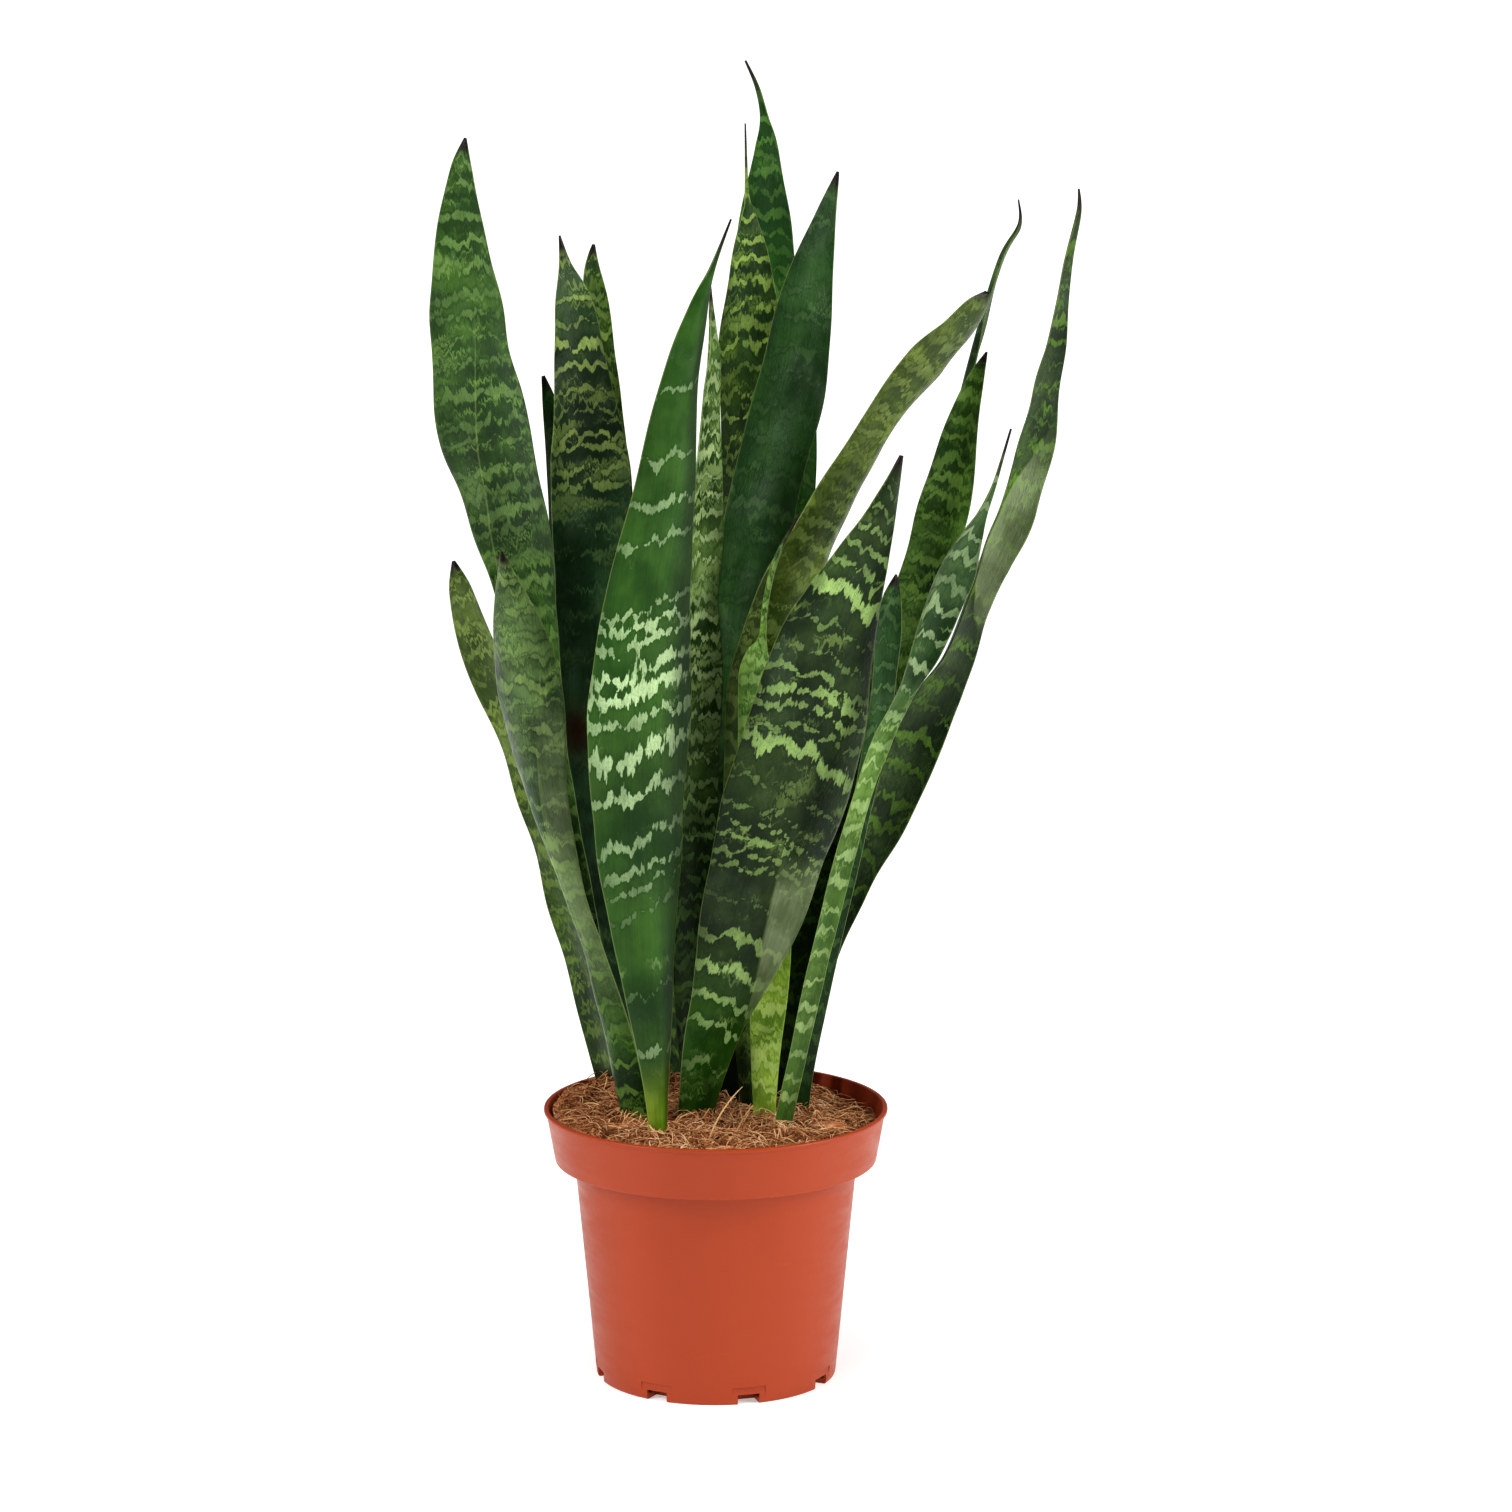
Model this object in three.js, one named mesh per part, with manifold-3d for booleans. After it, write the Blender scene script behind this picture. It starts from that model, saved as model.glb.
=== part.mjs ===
// A potted snake plant: a plastic nursery pot, its potting mix, the underground stem and nineteen leaves.
// Millimetres, +Z up. The origin is the centre of the pot's underside, and the front faces -Y.
import * as THREE from 'three';
import { mergeVertices } from 'three/addons/utils/BufferGeometryUtils.js';
import Module from 'manifold-3d';

const wasm = await Module();
wasm.setup();

// ---------------------------------------------------------------- driving dimensions

const GAP = 0.4; // kept between pieces that touch

// The pot is a thin injection-moulded shell with a stepped-out collar.
const POT_HEIGHT = 136;
const RIM_RADIUS = 85;
const LIP_HEIGHT = 1.8;
const LIP_OVERHANG = 0.8;
const COLLAR_HEIGHT = 26.5;
const COLLAR_FOOT_RADIUS = 79.5;
const BODY_TOP_RADIUS = 70;
const BASE_RADIUS = 59.5;
const WALL = 1.6;
const FLOOR = 2.6;
const POT_SIDES = 40;

// The underside rests on a centre pad and an outer ring, with a shallow recess between them.
const PAD_RADIUS = 18;
const RING_INNER_RADIUS = 47;
const RECESS = 2;
const RECESS_SLOPE = 3;
const FOOT_CHAMFER = 0.8;

// Drainage notches cut through the corner of the wall and the floor.
const NOTCH_COUNT = 8;
const NOTCH_WIDTH = 11;
const NOTCH_HEIGHT = 5;
const NOTCH_INNER_RADIUS = 50;
const NOTCH_FIRST = THREE.MathUtils.degToRad(15.6 - 90);

// The potting mix fills the pot nearly to the rim, a little higher on the left.
const SOIL_LEVEL = 131;
const SOIL_FALL = 0.05; // mm down for each mm to the right
const SOIL_TWIST = 0.0004; // lifts the back on the left and drops it on the right
const SOIL_RING_RADII = [14, 26, 38, 50, 62, 72];

// The underground stem runs level through the mix, below the leaves.
const STEM_RADIUS = 9;
const STEM_AXIS_HEIGHT = 97;
const STEM_NODES = {
  left: [-35, 38],
  leftFront: [-40, -20],
  front: [-27, -46],
  centre: [0, 26],
  centreFront: [-6, -8],
  right: [36, 40],
  rightMiddle: [38, 10],
  rightFront: [28, -24],
};
const STEM_RUNS = [
  ['left', 'leftFront'],
  ['leftFront', 'front'],
  ['left', 'centre'],
  ['centre', 'centreFront'],
  ['centre', 'right'],
  ['right', 'rightMiddle'],
  ['rightMiddle', 'rightFront'],
];

// Leaf blades: thickest at the foot and the midline, thin at the margins.
const LEAF_FOOT_THICKNESS = 5;
const LEAF_TOP_THICKNESS = 2.6;
const LEAF_ROUNDNESS = 0.75; // thickness over width where the leaf narrows to its stalk or spine
const LEAF_FOOT_CURL = 0.6; // extra channelling at the foot
const SECTION_STOPS = [-0.6, 0, 0.6];
const SECTION_CENTRE = 0.4; // how far up the channel's depth the stations run
const MARGIN_THINNING = 0.45;
const LEAF_FOOT = STEM_AXIS_HEIGHT + STEM_RADIUS + GAP; // where every leaf starts, inside the mix
const SOCKET_CLEARANCE = 0.9;
const SOCKET_RINGS = 3; // the sections that reach from the foot to well above the mix
const SOCKET_DEPTH = 7;

// Each leaf: how deeply it is channelled (positive hollows the side that its turn faces), then
// stations from foot to tip, each [x, y, z, width, turn]. A turn of 0 faces the front, and a
// positive turn faces right of it, in degrees. Every leaf ends in a round hard spine.
const LEAVES = {
  leaf_left_tall: {
    curl: 0.16,
    stations: [
      [-34, 42, LEAF_FOOT, 14, -30],
      [-36, 44, 140, 15, -30],
      [-54, 48, 205, 22, -32],
      [-73, 54, 284, 29, -34],
      [-87.7, 60, 370, 37.4, -34],
      [-99.4, 64, 420, 49.1, -34],
      [-110.2, 67, 460, 57.7, -34],
      [-119.1, 71, 512, 47.6, -34],
      [-123.6, 75, 562, 29.2, -32],
      [-124.1, 77, 591, 12.8, -30],
      [-122.5, 78, 607, 1.3, -30],
    ],
  },
  leaf_left_outer: {
    curl: 0.14,
    stations: [
      [-45.4, 38, LEAF_FOOT, 13.5, -50],
      [-54.4, 43, 143, 16.8, -50],
      [-71.2, 47, 210, 21, -52],
      [-88.8, 51, 271, 18.5, -52],
      [-103.7, 55, 320, 23.2, -50],
      [-116.5, 58, 356, 27.1, -42],
      [-125.2, 60, 383, 15.6, -36],
      [-129.7, 61, 399, 1.7, -30],
    ],
  },
  leaf_left_dark: {
    curl: 0.12,
    stations: [
      [-39, 28, LEAF_FOOT, 11, 20],
      [-41, 30, 140, 12, 20],
      [-46, 32, 190, 16, 22],
      [-55, 35, 254, 22, 24],
      [-61, 41, 319, 32, 26],
      [-61, 46, 383, 42, 27],
      [-62.4, 51, 438, 44.2, 26],
      [-65.7, 54, 487, 31, 26],
      [-70, 56, 527, 20.8, 26],
      [-73.5, 57, 547, 6.9, 26],
      [-76, 58, 561, 1, 26],
    ],
  },
  leaf_left_folded: {
    curl: -0.2,
    stations: [
      [-39, -20, LEAF_FOOT, 16, -42],
      [-41, -21, 135, 20, -44],
      [-49, -24, 175, 20, -50],
      [-61, -27, 223, 19, -60],
      [-72, -30, 256, 22, -66],
      [-83, -34, 293, 30, -50],
      [-90, -38, 340, 37, -32],
      [-94, -41, 372, 31, -20],
      [-98, -43, 398, 17, -16],
      [-102, -45, 421, 1, -14],
    ],
  },
  leaf_back_left_bright: {
    curl: 0.14,
    stations: [
      [-16, 50, LEAF_FOOT, 9, 40],
      [-19, 55, 140, 11, 42],
      [-28, 62, 214, 16, 44],
      [-40, 69, 299, 24, 46],
      [-49, 75, 378, 31, 47],
      [-55.9, 79, 452, 29.4, 48],
      [-58.5, 81, 506, 21.4, 48],
      [-61.4, 82, 537, 14, 48],
      [-59.8, 82, 554, 1.7, 48],
    ],
  },
  leaf_back_left_small: {
    curl: 0.14,
    stations: [
      [-33, 52, LEAF_FOOT, 8, 34],
      [-40, 60, 140, 10, 36],
      [-52, 68, 214, 15, 38],
      [-64.6, 77, 298, 19, 40],
      [-74.1, 85, 377, 19.8, 42],
      [-77.9, 90, 436, 19.2, 42],
      [-82.2, 93, 470, 10.8, 42],
      [-85.6, 94, 487, 2, 42],
    ],
  },
  leaf_front_tall: {
    curl: -0.1,
    stations: [
      [-26.8, -46, LEAF_FOOT, 8.5, 16],
      [-27.8, -49, 136, 9.5, 16],
      [-29.8, -53, 180, 17.5, 18],
      [-33.8, -59, 241, 34.5, 20],
      [-35.8, -65, 302, 47.5, 21],
      [-34.8, -69, 345, 52.5, 21],
      [-30.8, -74, 404, 43.5, 21],
      [-23.4, -78, 452, 31.9, 21],
      [-17.2, -81, 501, 20.9, 20],
      [-7.9, -83, 541, 10.4, 20],
      [-1, -84, 561, 3.2, 20],
      [7.7, -85, 584, 1, 20],
    ],
  },
  leaf_centre_edgeways: {
    curl: 0.14,
    stations: [
      [-11, 5, LEAF_FOOT, 12, 40],
      [-11, 5, 140, 15, 36],
      [-12, 4, 200, 25, 30],
      [-12, 3, 270, 28, 32],
      [-10.5, 2, 330, 30, 42],
      [-8, 1, 388, 30, 56],
      [-6.2, 1, 430, 29, 59],
      [-3.6, 0, 470, 22, 61],
      [-1.4, 0, 500, 14, 62],
      [-1.1, 0, 515, 8, 62],
      [-1.6, 0, 532, 3, 62],
      [-2.2, 0, 545, 1, 62],
    ],
  },
  leaf_back_tallest: {
    curl: 0.12,
    stations: [
      [8, 50, LEAF_FOOT, 12, -26],
      [9, 53, 140, 14, -27],
      [14, 60, 224, 24, -29],
      [20, 67, 309, 35, -31],
      [25, 73, 383, 45, -32],
      [30.3, 77, 452, 54.2, -32],
      [27.5, 81, 517, 43.6, -32],
      [25.9, 84, 571, 27.5, -32],
      [26.4, 86, 601, 13.4, -32],
      [24.8, 87, 616, 5.3, -32],
      [21.1, 88, 631, 2.8, -32],
      [15.3, 88, 644, 1.2, -32],
    ],
  },
  leaf_centre_lime: {
    curl: 0.1,
    stations: [
      [-2, 31, LEAF_FOOT, 12, 22],
      [-1, 31, 140, 14, 24],
      [3, 37, 215, 19, 28],
      [7, 43, 300, 26, 31],
      [13, 48, 383, 33, 33],
      [17, 51, 448, 37, 34],
      [16.4, 53, 507, 37.5, 34],
      [16.4, 54, 545, 25.6, 34],
      [16.7, 55, 571, 8.7, 34],
      [15.8, 55, 582, 2.7, 34],
      [15, 56, 616, 0.8, 34],
    ],
  },
  leaf_centre_dark: {
    curl: 0.12,
    stations: [
      [4.2, 15, LEAF_FOOT, 13.4, -20],
      [5.2, 15, 140, 15.4, -22],
      [4.2, 17, 215, 19.4, -26],
      [8.2, 20, 300, 27.5, -30],
      [14.2, 23, 369, 34.5, -32],
      [24.2, 26, 431, 39.5, -33],
      [38.1, 28, 487, 39.2, -33],
      [46.7, 29, 538, 28.7, -33],
      [54, 29, 572, 13.3, -33],
      [59.8, 29, 595, 1.4, -33],
    ],
  },
  leaf_right_arching: {
    curl: -0.12,
    stations: [
      [17, 2, LEAF_FOOT, 11, -16],
      [17, 2, 140, 12, -16],
      [14, 2, 210, 17, -10],
      [16, 2, 285, 24, 0],
      [21, 2, 345, 29, 10],
      [36.5, 3, 392, 33, 26],
      [56, 6, 431, 31.2, 44],
      [81.1, 10, 474, 34.4, 52],
      [104.5, 13, 503, 44.5, 54],
      [119.5, 15, 519, 35.5, 54],
      [128, 16, 531, 22.5, 54],
      [132, 16.5, 538, 3.2, 54],
    ],
  },
  leaf_back_right_slender: {
    curl: 0.16,
    stations: [
      [33, 51, LEAF_FOOT, 8, 40],
      [43, 61, 140, 9, 40],
      [58, 68, 214, 12, 50],
      [79, 76, 289, 15, 64],
      [100, 84, 372, 17, 76],
      [117, 91, 446, 16, 80],
      [131.5, 96, 505, 13, 80],
      [142.7, 99, 544, 8, 80],
      [151.8, 101, 561, 3, 80],
      [151.2, 102, 574, 1, 80],
    ],
  },
  leaf_right_upright: {
    curl: 0.14,
    stations: [
      [33, 24, LEAF_FOOT, 12.2, -24],
      [34.5, 24, 140, 15.3, -26],
      [48, 28, 205, 22.9, -30],
      [63.5, 32, 270, 28, -34],
      [85, 35, 339, 28, -36],
      [103.9, 37, 391, 30.7, -38],
      [114.4, 38, 430, 30.4, -38],
      [121, 38, 464, 21.5, -38],
      [127.5, 38, 490, 11.3, -38],
      [133, 38, 506, 1, -38],
    ],
  },
  leaf_front_right_curved: {
    curl: 0.22,
    stations: [
      [31, -30, LEAF_FOOT, 9, 16],
      [33, -31, 138, 9, 16],
      [41, -36, 178, 9.5, 18],
      [50, -41, 222, 10.5, 20],
      [60, -45, 265, 10.5, 22],
      [70.5, -47, 304, 10.5, 25],
      [79, -48, 329, 11, 28],
      [87, -48.5, 345, 11, 32],
      [93, -49, 358, 12.5, 36],
      [98.5, -49, 373, 19, 40],
      [104.5, -49, 390, 25.5, 42],
      [111.5, -48.5, 407, 28, 42],
      [117, -48, 420, 23, 42],
      [122.5, -48, 431, 14, 40],
      [127.4, -47.5, 440, 6.3, 38],
      [132.9, -47, 453, 2.5, 36],
      [140.8, -46, 480, 1.1, 30],
    ],
  },
  leaf_right_small: {
    curl: 0.14,
    stations: [
      [42, 4, LEAF_FOOT, 7, 20],
      [43, 4, 143, 8, 20],
      [56, 7, 215, 11, 22],
      [72, 10, 288, 12, 24],
      [80, 11.5, 328, 13, 24],
      [83.3, 12.5, 362, 14.4, 24],
      [84.8, 13, 379, 12.8, 23],
      [86.2, 13, 389, 9.6, 22],
      [87.3, 13, 394.5, 6, 22],
      [88.4, 13, 400, 1, 20],
    ],
  },
  leaf_front_broad: {
    curl: -0.08,
    stations: [
      [-10, -13, LEAF_FOOT, 17, 12],
      [-9, -14, 136, 19, 12],
      [-2, -20, 174, 27, 13],
      [9, -27, 208, 41, 15],
      [20, -34, 246, 53, 17],
      [31, -40, 285, 63, 18],
      [42.6, -47, 327, 62.4, 18],
      [54.5, -54, 379, 50.2, 18],
      [69.5, -59, 418, 29.2, 18],
      [80.8, -63, 446, 13.5, 18],
      [88.2, -66, 470, 2.2, 18],
    ],
  },
  leaf_front_rolled: {
    curl: 0.1,
    stations: [
      [25, -17, LEAF_FOOT, 10, -18],
      [24, -17, 134, 11, -18],
      [25, -14, 168, 16, -20],
      [27, -10, 210, 22, -22],
      [25, -7, 262, 26, -22],
      [22, -6, 312, 22, -22],
      [20.3, -6, 343, 19, -22],
      [20.2, -6, 355, 17.5, -22],
      [21, -6, 363.5, 12.5, -22],
      [22.4, -6.5, 369, 6.5, -22],
      [23.3, -7, 375, 3.6, -22],
      [24.6, -8, 390, 3.2, -22],
      [30, -9, 412, 2.8, -22],
      [41, -10, 434, 1, -22],
    ],
  },
  leaf_right_tallest: {
    curl: 0.16,
    stations: [
      [40.5, 41, LEAF_FOOT, 10, 10],
      [42.5, 46, 140, 10, 10],
      [47, 48, 172, 11.9, 12],
      [53.2, 51, 199, 14.9, 14],
      [66, 54, 236, 22, 16],
      [83, 57, 274, 30, 18],
      [97, 60, 308, 33, 20],
      [110, 62, 333, 31, 36],
      [119.2, 63.5, 350, 28.5, 53],
      [127.1, 65, 372, 29.1, 60],
      [136.6, 67, 398, 27.5, 53],
      [148.6, 69, 426, 28.9, 49],
      [156.9, 71, 455, 28.6, 46],
      [165, 73, 491, 18.4, 46],
      [170.4, 74, 520, 10.9, 46],
      [174.8, 74.5, 548, 6.2, 46],
      [179.5, 75, 570, 3.2, 46],
      [179.4, 75, 582, 1.1, 46],
    ],
  },
};

// ---------------------------------------------------------------- materials

function finish(colour, roughness) {
  return new THREE.MeshStandardMaterial({ color: colour, roughness, metalness: 0 });
}

const POT_FINISH = finish(0xb9532f, 0.45);
const SOIL_FINISH = finish(0x8a5f3c, 1);
const STEM_FINISH = finish(0xc9a27a, 0.8);
const LEAF_FINISH = finish(0x2f5a2c, 0.4);

// ---------------------------------------------------------------- solids and meshes

function solidFrom(geometry) {
  const bare = geometry.clone();
  bare.deleteAttribute('normal');
  bare.deleteAttribute('uv');
  const merged = mergeVertices(bare, 1e-4);
  return new wasm.Manifold(
    new wasm.Mesh({
      numProp: 3,
      vertProperties: new Float32Array(merged.attributes.position.array),
      triVerts: new Uint32Array(merged.index.array),
    }),
  );
}

function geometryFrom(solid) {
  const mesh = solid.getMesh();
  const geometry = new THREE.BufferGeometry();
  geometry.setAttribute('position', new THREE.BufferAttribute(mesh.vertProperties, 3));
  geometry.setIndex(new THREE.BufferAttribute(mesh.triVerts, 1));
  geometry.computeVertexNormals();
  return geometry;
}

function named(name, geometry, material) {
  const mesh = new THREE.Mesh(geometry, material);
  mesh.name = name;
  return mesh;
}

// Turns a profile of [radius, height] points about the vertical axis.
function turned(profile) {
  const points = profile.map(([radius, height]) => new THREE.Vector2(radius, height));
  const geometry = new THREE.LatheGeometry(points, POT_SIDES);
  geometry.rotateX(Math.PI / 2);
  return geometry;
}

// ---------------------------------------------------------------- pot

// The body wall's outer radius at a height, from the base to the collar.
function bodyRadius(height) {
  const share = height / (POT_HEIGHT - COLLAR_HEIGHT);
  return THREE.MathUtils.lerp(BASE_RADIUS, BODY_TOP_RADIUS, share);
}

// The collar wall's outer radius at a height, from its foot to the lip.
function collarRadius(height) {
  const share = (height - (POT_HEIGHT - COLLAR_HEIGHT)) / COLLAR_HEIGHT;
  return THREE.MathUtils.lerp(COLLAR_FOOT_RADIUS, RIM_RADIUS - LIP_OVERHANG, share);
}

function potShell() {
  const collarFoot = POT_HEIGHT - COLLAR_HEIGHT;
  const lipFoot = POT_HEIGHT - LIP_HEIGHT;
  const ledge = collarFoot + WALL;
  const raised = FLOOR + RECESS;
  return solidFrom(turned([
    [0, 0],
    [PAD_RADIUS, 0],
    [PAD_RADIUS + RECESS_SLOPE, RECESS],
    [RING_INNER_RADIUS - RECESS_SLOPE, RECESS],
    [RING_INNER_RADIUS, 0],
    [BASE_RADIUS - FOOT_CHAMFER, 0],
    [bodyRadius(FOOT_CHAMFER), FOOT_CHAMFER],
    [BODY_TOP_RADIUS, collarFoot],
    [COLLAR_FOOT_RADIUS, collarFoot],
    [collarRadius(lipFoot), lipFoot],
    [RIM_RADIUS, lipFoot],
    [RIM_RADIUS, POT_HEIGHT],
    [RIM_RADIUS - LIP_OVERHANG - WALL, POT_HEIGHT],
    [collarRadius(ledge) - WALL, ledge],
    [bodyRadius(ledge) - WALL, ledge],
    [bodyRadius(FLOOR) - WALL, FLOOR],
    [RING_INNER_RADIUS, FLOOR],
    [RING_INNER_RADIUS - RECESS_SLOPE, raised],
    [PAD_RADIUS + RECESS_SLOPE, raised],
    [PAD_RADIUS, FLOOR],
    [0, FLOOR],
  ]));
}

function notch(angle) {
  const reach = BASE_RADIUS + WALL - NOTCH_INNER_RADIUS;
  const box = new THREE.BoxGeometry(reach, NOTCH_WIDTH, NOTCH_HEIGHT * 2);
  box.translate(NOTCH_INNER_RADIUS + reach / 2, 0, 0);
  box.rotateZ(angle);
  return solidFrom(box);
}

function pot() {
  let shell = potShell();
  for (let i = 0; i < NOTCH_COUNT; i++) {
    shell = shell.subtract(notch(NOTCH_FIRST + (i * 2 * Math.PI) / NOTCH_COUNT));
  }
  return named('pot', geometryFrom(shell), POT_FINISH);
}

// ---------------------------------------------------------------- leaves

// A smooth curve through the stations, at a place counted in spans from the foot.
function stationAt(stations, place) {
  const last = stations.length - 1;
  const i = Math.min(Math.floor(place), last - 1);
  const t = place - i;
  const [a, b, c, d] = [i - 1, i, i + 1, i + 2].map((k) => stations[THREE.MathUtils.clamp(k, 0, last)]);
  return b.map((value, column) => {
    const lead = (c[column] - a[column]) / 2;
    const tail = (d[column] - value) / 2;
    const rise = c[column] - value;
    return value + t * (lead + t * (3 * rise - 2 * lead - tail + t * (lead + tail - 2 * rise)));
  });
}

// The leaf's cross-section at a place: eight points, from the left margin round by the faced side.
function sectionAt(leaf, place, grow) {
  const spans = leaf.stations.length - 1;
  const [x, y, z, width, turn] = stationAt(leaf.stations, place);
  const before = stationAt(leaf.stations, Math.max(place - 0.05, 0));
  const after = stationAt(leaf.stations, Math.min(place + 0.05, spans));
  const along = new THREE.Vector3(after[0] - before[0], after[1] - before[1], after[2] - before[2]).normalize();
  const angle = THREE.MathUtils.degToRad(turn);
  const across = new THREE.Vector3(Math.cos(angle), Math.sin(angle), 0);
  across.addScaledVector(along, -across.dot(along)).normalize();
  const outward = new THREE.Vector3().crossVectors(across, along);

  const share = place / spans;
  const full = THREE.MathUtils.lerp(LEAF_FOOT_THICKNESS, LEAF_TOP_THICKNESS, Math.min(1, share * 2));
  const half = Math.min(full, width * LEAF_ROUNDNESS) / 2 + grow;
  const reach = width / 2 + grow;
  const curl = leaf.curl * width * (1 + LEAF_FOOT_CURL * (1 - share) ** 2);
  const point = (s, side) => {
    const bow = curl * (((s * reach * 2) / width) ** 2 - SECTION_CENTRE);
    const thick = side * half * (1 - MARGIN_THINNING * s * s);
    return new THREE.Vector3(x, y, z)
      .addScaledVector(across, s * reach)
      .addScaledVector(outward, bow + thick);
  };
  return [
    point(-1, 0),
    ...SECTION_STOPS.map((s) => point(s, 1)),
    point(1, 0),
    ...SECTION_STOPS.map((s) => point(-s, -1)),
  ];
}

// Skins a row of equal rings and closes both ends.
function lofted(rings) {
  const size = rings[0].length;
  const corners = rings.flat().flatMap((p) => [p.x, p.y, p.z]);
  const index = [];
  for (let row = 0; row < rings.length - 1; row++) {
    for (let i = 0; i < size; i++) {
      const next = (i + 1) % size;
      const [a, b] = [row * size + i, row * size + next];
      index.push(a, b, b + size, a, b + size, a + size);
    }
  }
  const top = (rings.length - 1) * size;
  for (let i = 1; i < size - 1; i++) {
    index.push(0, i + 1, i);
    index.push(top, top + i, top + i + 1);
  }
  const geometry = new THREE.BufferGeometry();
  geometry.setAttribute('position', new THREE.Float32BufferAttribute(corners, 3));
  geometry.setIndex(index);
  return geometry;
}

function leaf(name) {
  const rings = LEAVES[name].stations.map((_, place) => sectionAt(LEAVES[name], place, 0));
  const geometry = lofted(rings);
  geometry.computeVertexNormals();
  return named(name, geometry, LEAF_FINISH);
}

// The space in the mix round a leaf's buried foot, open above and reaching down to the stem.
function socket(name) {
  const rings = [];
  for (let place = 0; place < SOCKET_RINGS; place++) {
    rings.push(sectionAt(LEAVES[name], place, SOCKET_CLEARANCE));
  }
  const bottom = rings[0].map((p) => new THREE.Vector3(p.x, p.y, p.z - SOCKET_DEPTH));
  return solidFrom(lofted([bottom, ...rings]));
}

// ---------------------------------------------------------------- underground stem

function stemRun(from, to, grow) {
  const start = new THREE.Vector3(...STEM_NODES[from], STEM_AXIS_HEIGHT);
  const end = new THREE.Vector3(...STEM_NODES[to], STEM_AXIS_HEIGHT);
  const direction = end.clone().sub(start);
  const capsule = new THREE.CapsuleGeometry(STEM_RADIUS + grow, direction.length(), 3, 10);
  const turn = new THREE.Quaternion().setFromUnitVectors(new THREE.Vector3(0, 1, 0), direction.normalize());
  capsule.applyQuaternion(turn);
  const middle = start.add(end).multiplyScalar(0.5);
  capsule.translate(middle.x, middle.y, middle.z);
  return solidFrom(capsule);
}

function stemSolid(grow) {
  return STEM_RUNS.map(([from, to]) => stemRun(from, to, grow)).reduce((joined, run) => joined.add(run));
}

// ---------------------------------------------------------------- potting mix

function soilHeight(x, y) {
  return SOIL_LEVEL - SOIL_FALL * x - SOIL_TWIST * x * y;
}

// The mix before its sockets are cut: it follows the pot's inner wall and its ledge.
function soilBlock() {
  const ledge = POT_HEIGHT - COLLAR_HEIGHT + WALL + GAP;
  const bottom = FLOOR + RECESS + GAP;
  const rimRadius = collarRadius(SOIL_LEVEL) - WALL - GAP;
  const profile = [
    [0, bottom],
    [bodyRadius(bottom) - WALL - GAP, bottom],
    [bodyRadius(ledge) - WALL - GAP, ledge],
    [collarRadius(ledge) - WALL - GAP, ledge],
    [rimRadius, SOIL_LEVEL],
    ...[...SOIL_RING_RADII].reverse().map((radius) => [radius, SOIL_LEVEL]),
    [0, SOIL_LEVEL],
  ];
  const geometry = turned(profile);
  const { position } = geometry.attributes;
  for (let i = 0; i < position.count; i++) {
    if (position.getZ(i) < SOIL_LEVEL - 1) continue;
    const height = soilHeight(position.getX(i), position.getY(i));
    const radius = Math.hypot(position.getX(i), position.getY(i));
    const drawIn = radius > rimRadius - 1 ? (collarRadius(height) - WALL - GAP) / radius : 1;
    position.setXYZ(i, position.getX(i) * drawIn, position.getY(i) * drawIn, height);
  }
  return solidFrom(geometry);
}

// Where a socket only grazes the stem's space it leaves a sealed sliver, so the largest piece is kept.
function pottingMix() {
  let mix = soilBlock().subtract(stemSolid(GAP));
  for (const name of Object.keys(LEAVES)) mix = mix.subtract(socket(name));
  const [largest] = mix.decompose().sort((a, b) => b.volume() - a.volume());
  return named('potting_mix', geometryFrom(largest), SOIL_FINISH);
}

// ---------------------------------------------------------------- the whole plant

const plant = new THREE.Group();
plant.name = 'potted_snake_plant';
plant.add(pot());
plant.add(pottingMix());
plant.add(named('rhizome', geometryFrom(stemSolid(0)), STEM_FINISH));
for (const name of Object.keys(LEAVES)) plant.add(leaf(name));

export default plant;
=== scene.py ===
"""The looks of a potted snake plant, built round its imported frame. Metres, +Z up, and the front faces -Y."""

import math
import random
from typing import NamedTuple

import bmesh
import bpy
import numpy as np
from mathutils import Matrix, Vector, noise


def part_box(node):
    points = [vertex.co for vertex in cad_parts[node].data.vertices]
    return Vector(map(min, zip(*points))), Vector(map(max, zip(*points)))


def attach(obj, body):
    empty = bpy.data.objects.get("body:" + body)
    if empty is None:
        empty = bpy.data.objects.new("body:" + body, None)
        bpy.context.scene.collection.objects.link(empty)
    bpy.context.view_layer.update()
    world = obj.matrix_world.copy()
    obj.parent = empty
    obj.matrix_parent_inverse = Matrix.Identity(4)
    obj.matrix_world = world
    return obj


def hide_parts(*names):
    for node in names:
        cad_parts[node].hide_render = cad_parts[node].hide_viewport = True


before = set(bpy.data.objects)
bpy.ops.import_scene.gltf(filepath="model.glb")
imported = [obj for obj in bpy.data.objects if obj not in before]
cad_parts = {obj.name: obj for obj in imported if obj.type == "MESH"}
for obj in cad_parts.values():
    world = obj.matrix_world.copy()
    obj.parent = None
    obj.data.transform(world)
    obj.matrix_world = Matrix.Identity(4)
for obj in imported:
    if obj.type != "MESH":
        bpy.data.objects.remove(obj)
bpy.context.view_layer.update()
MM = 0.001


# ---------------- sizes, from the frame where it has them

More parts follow.
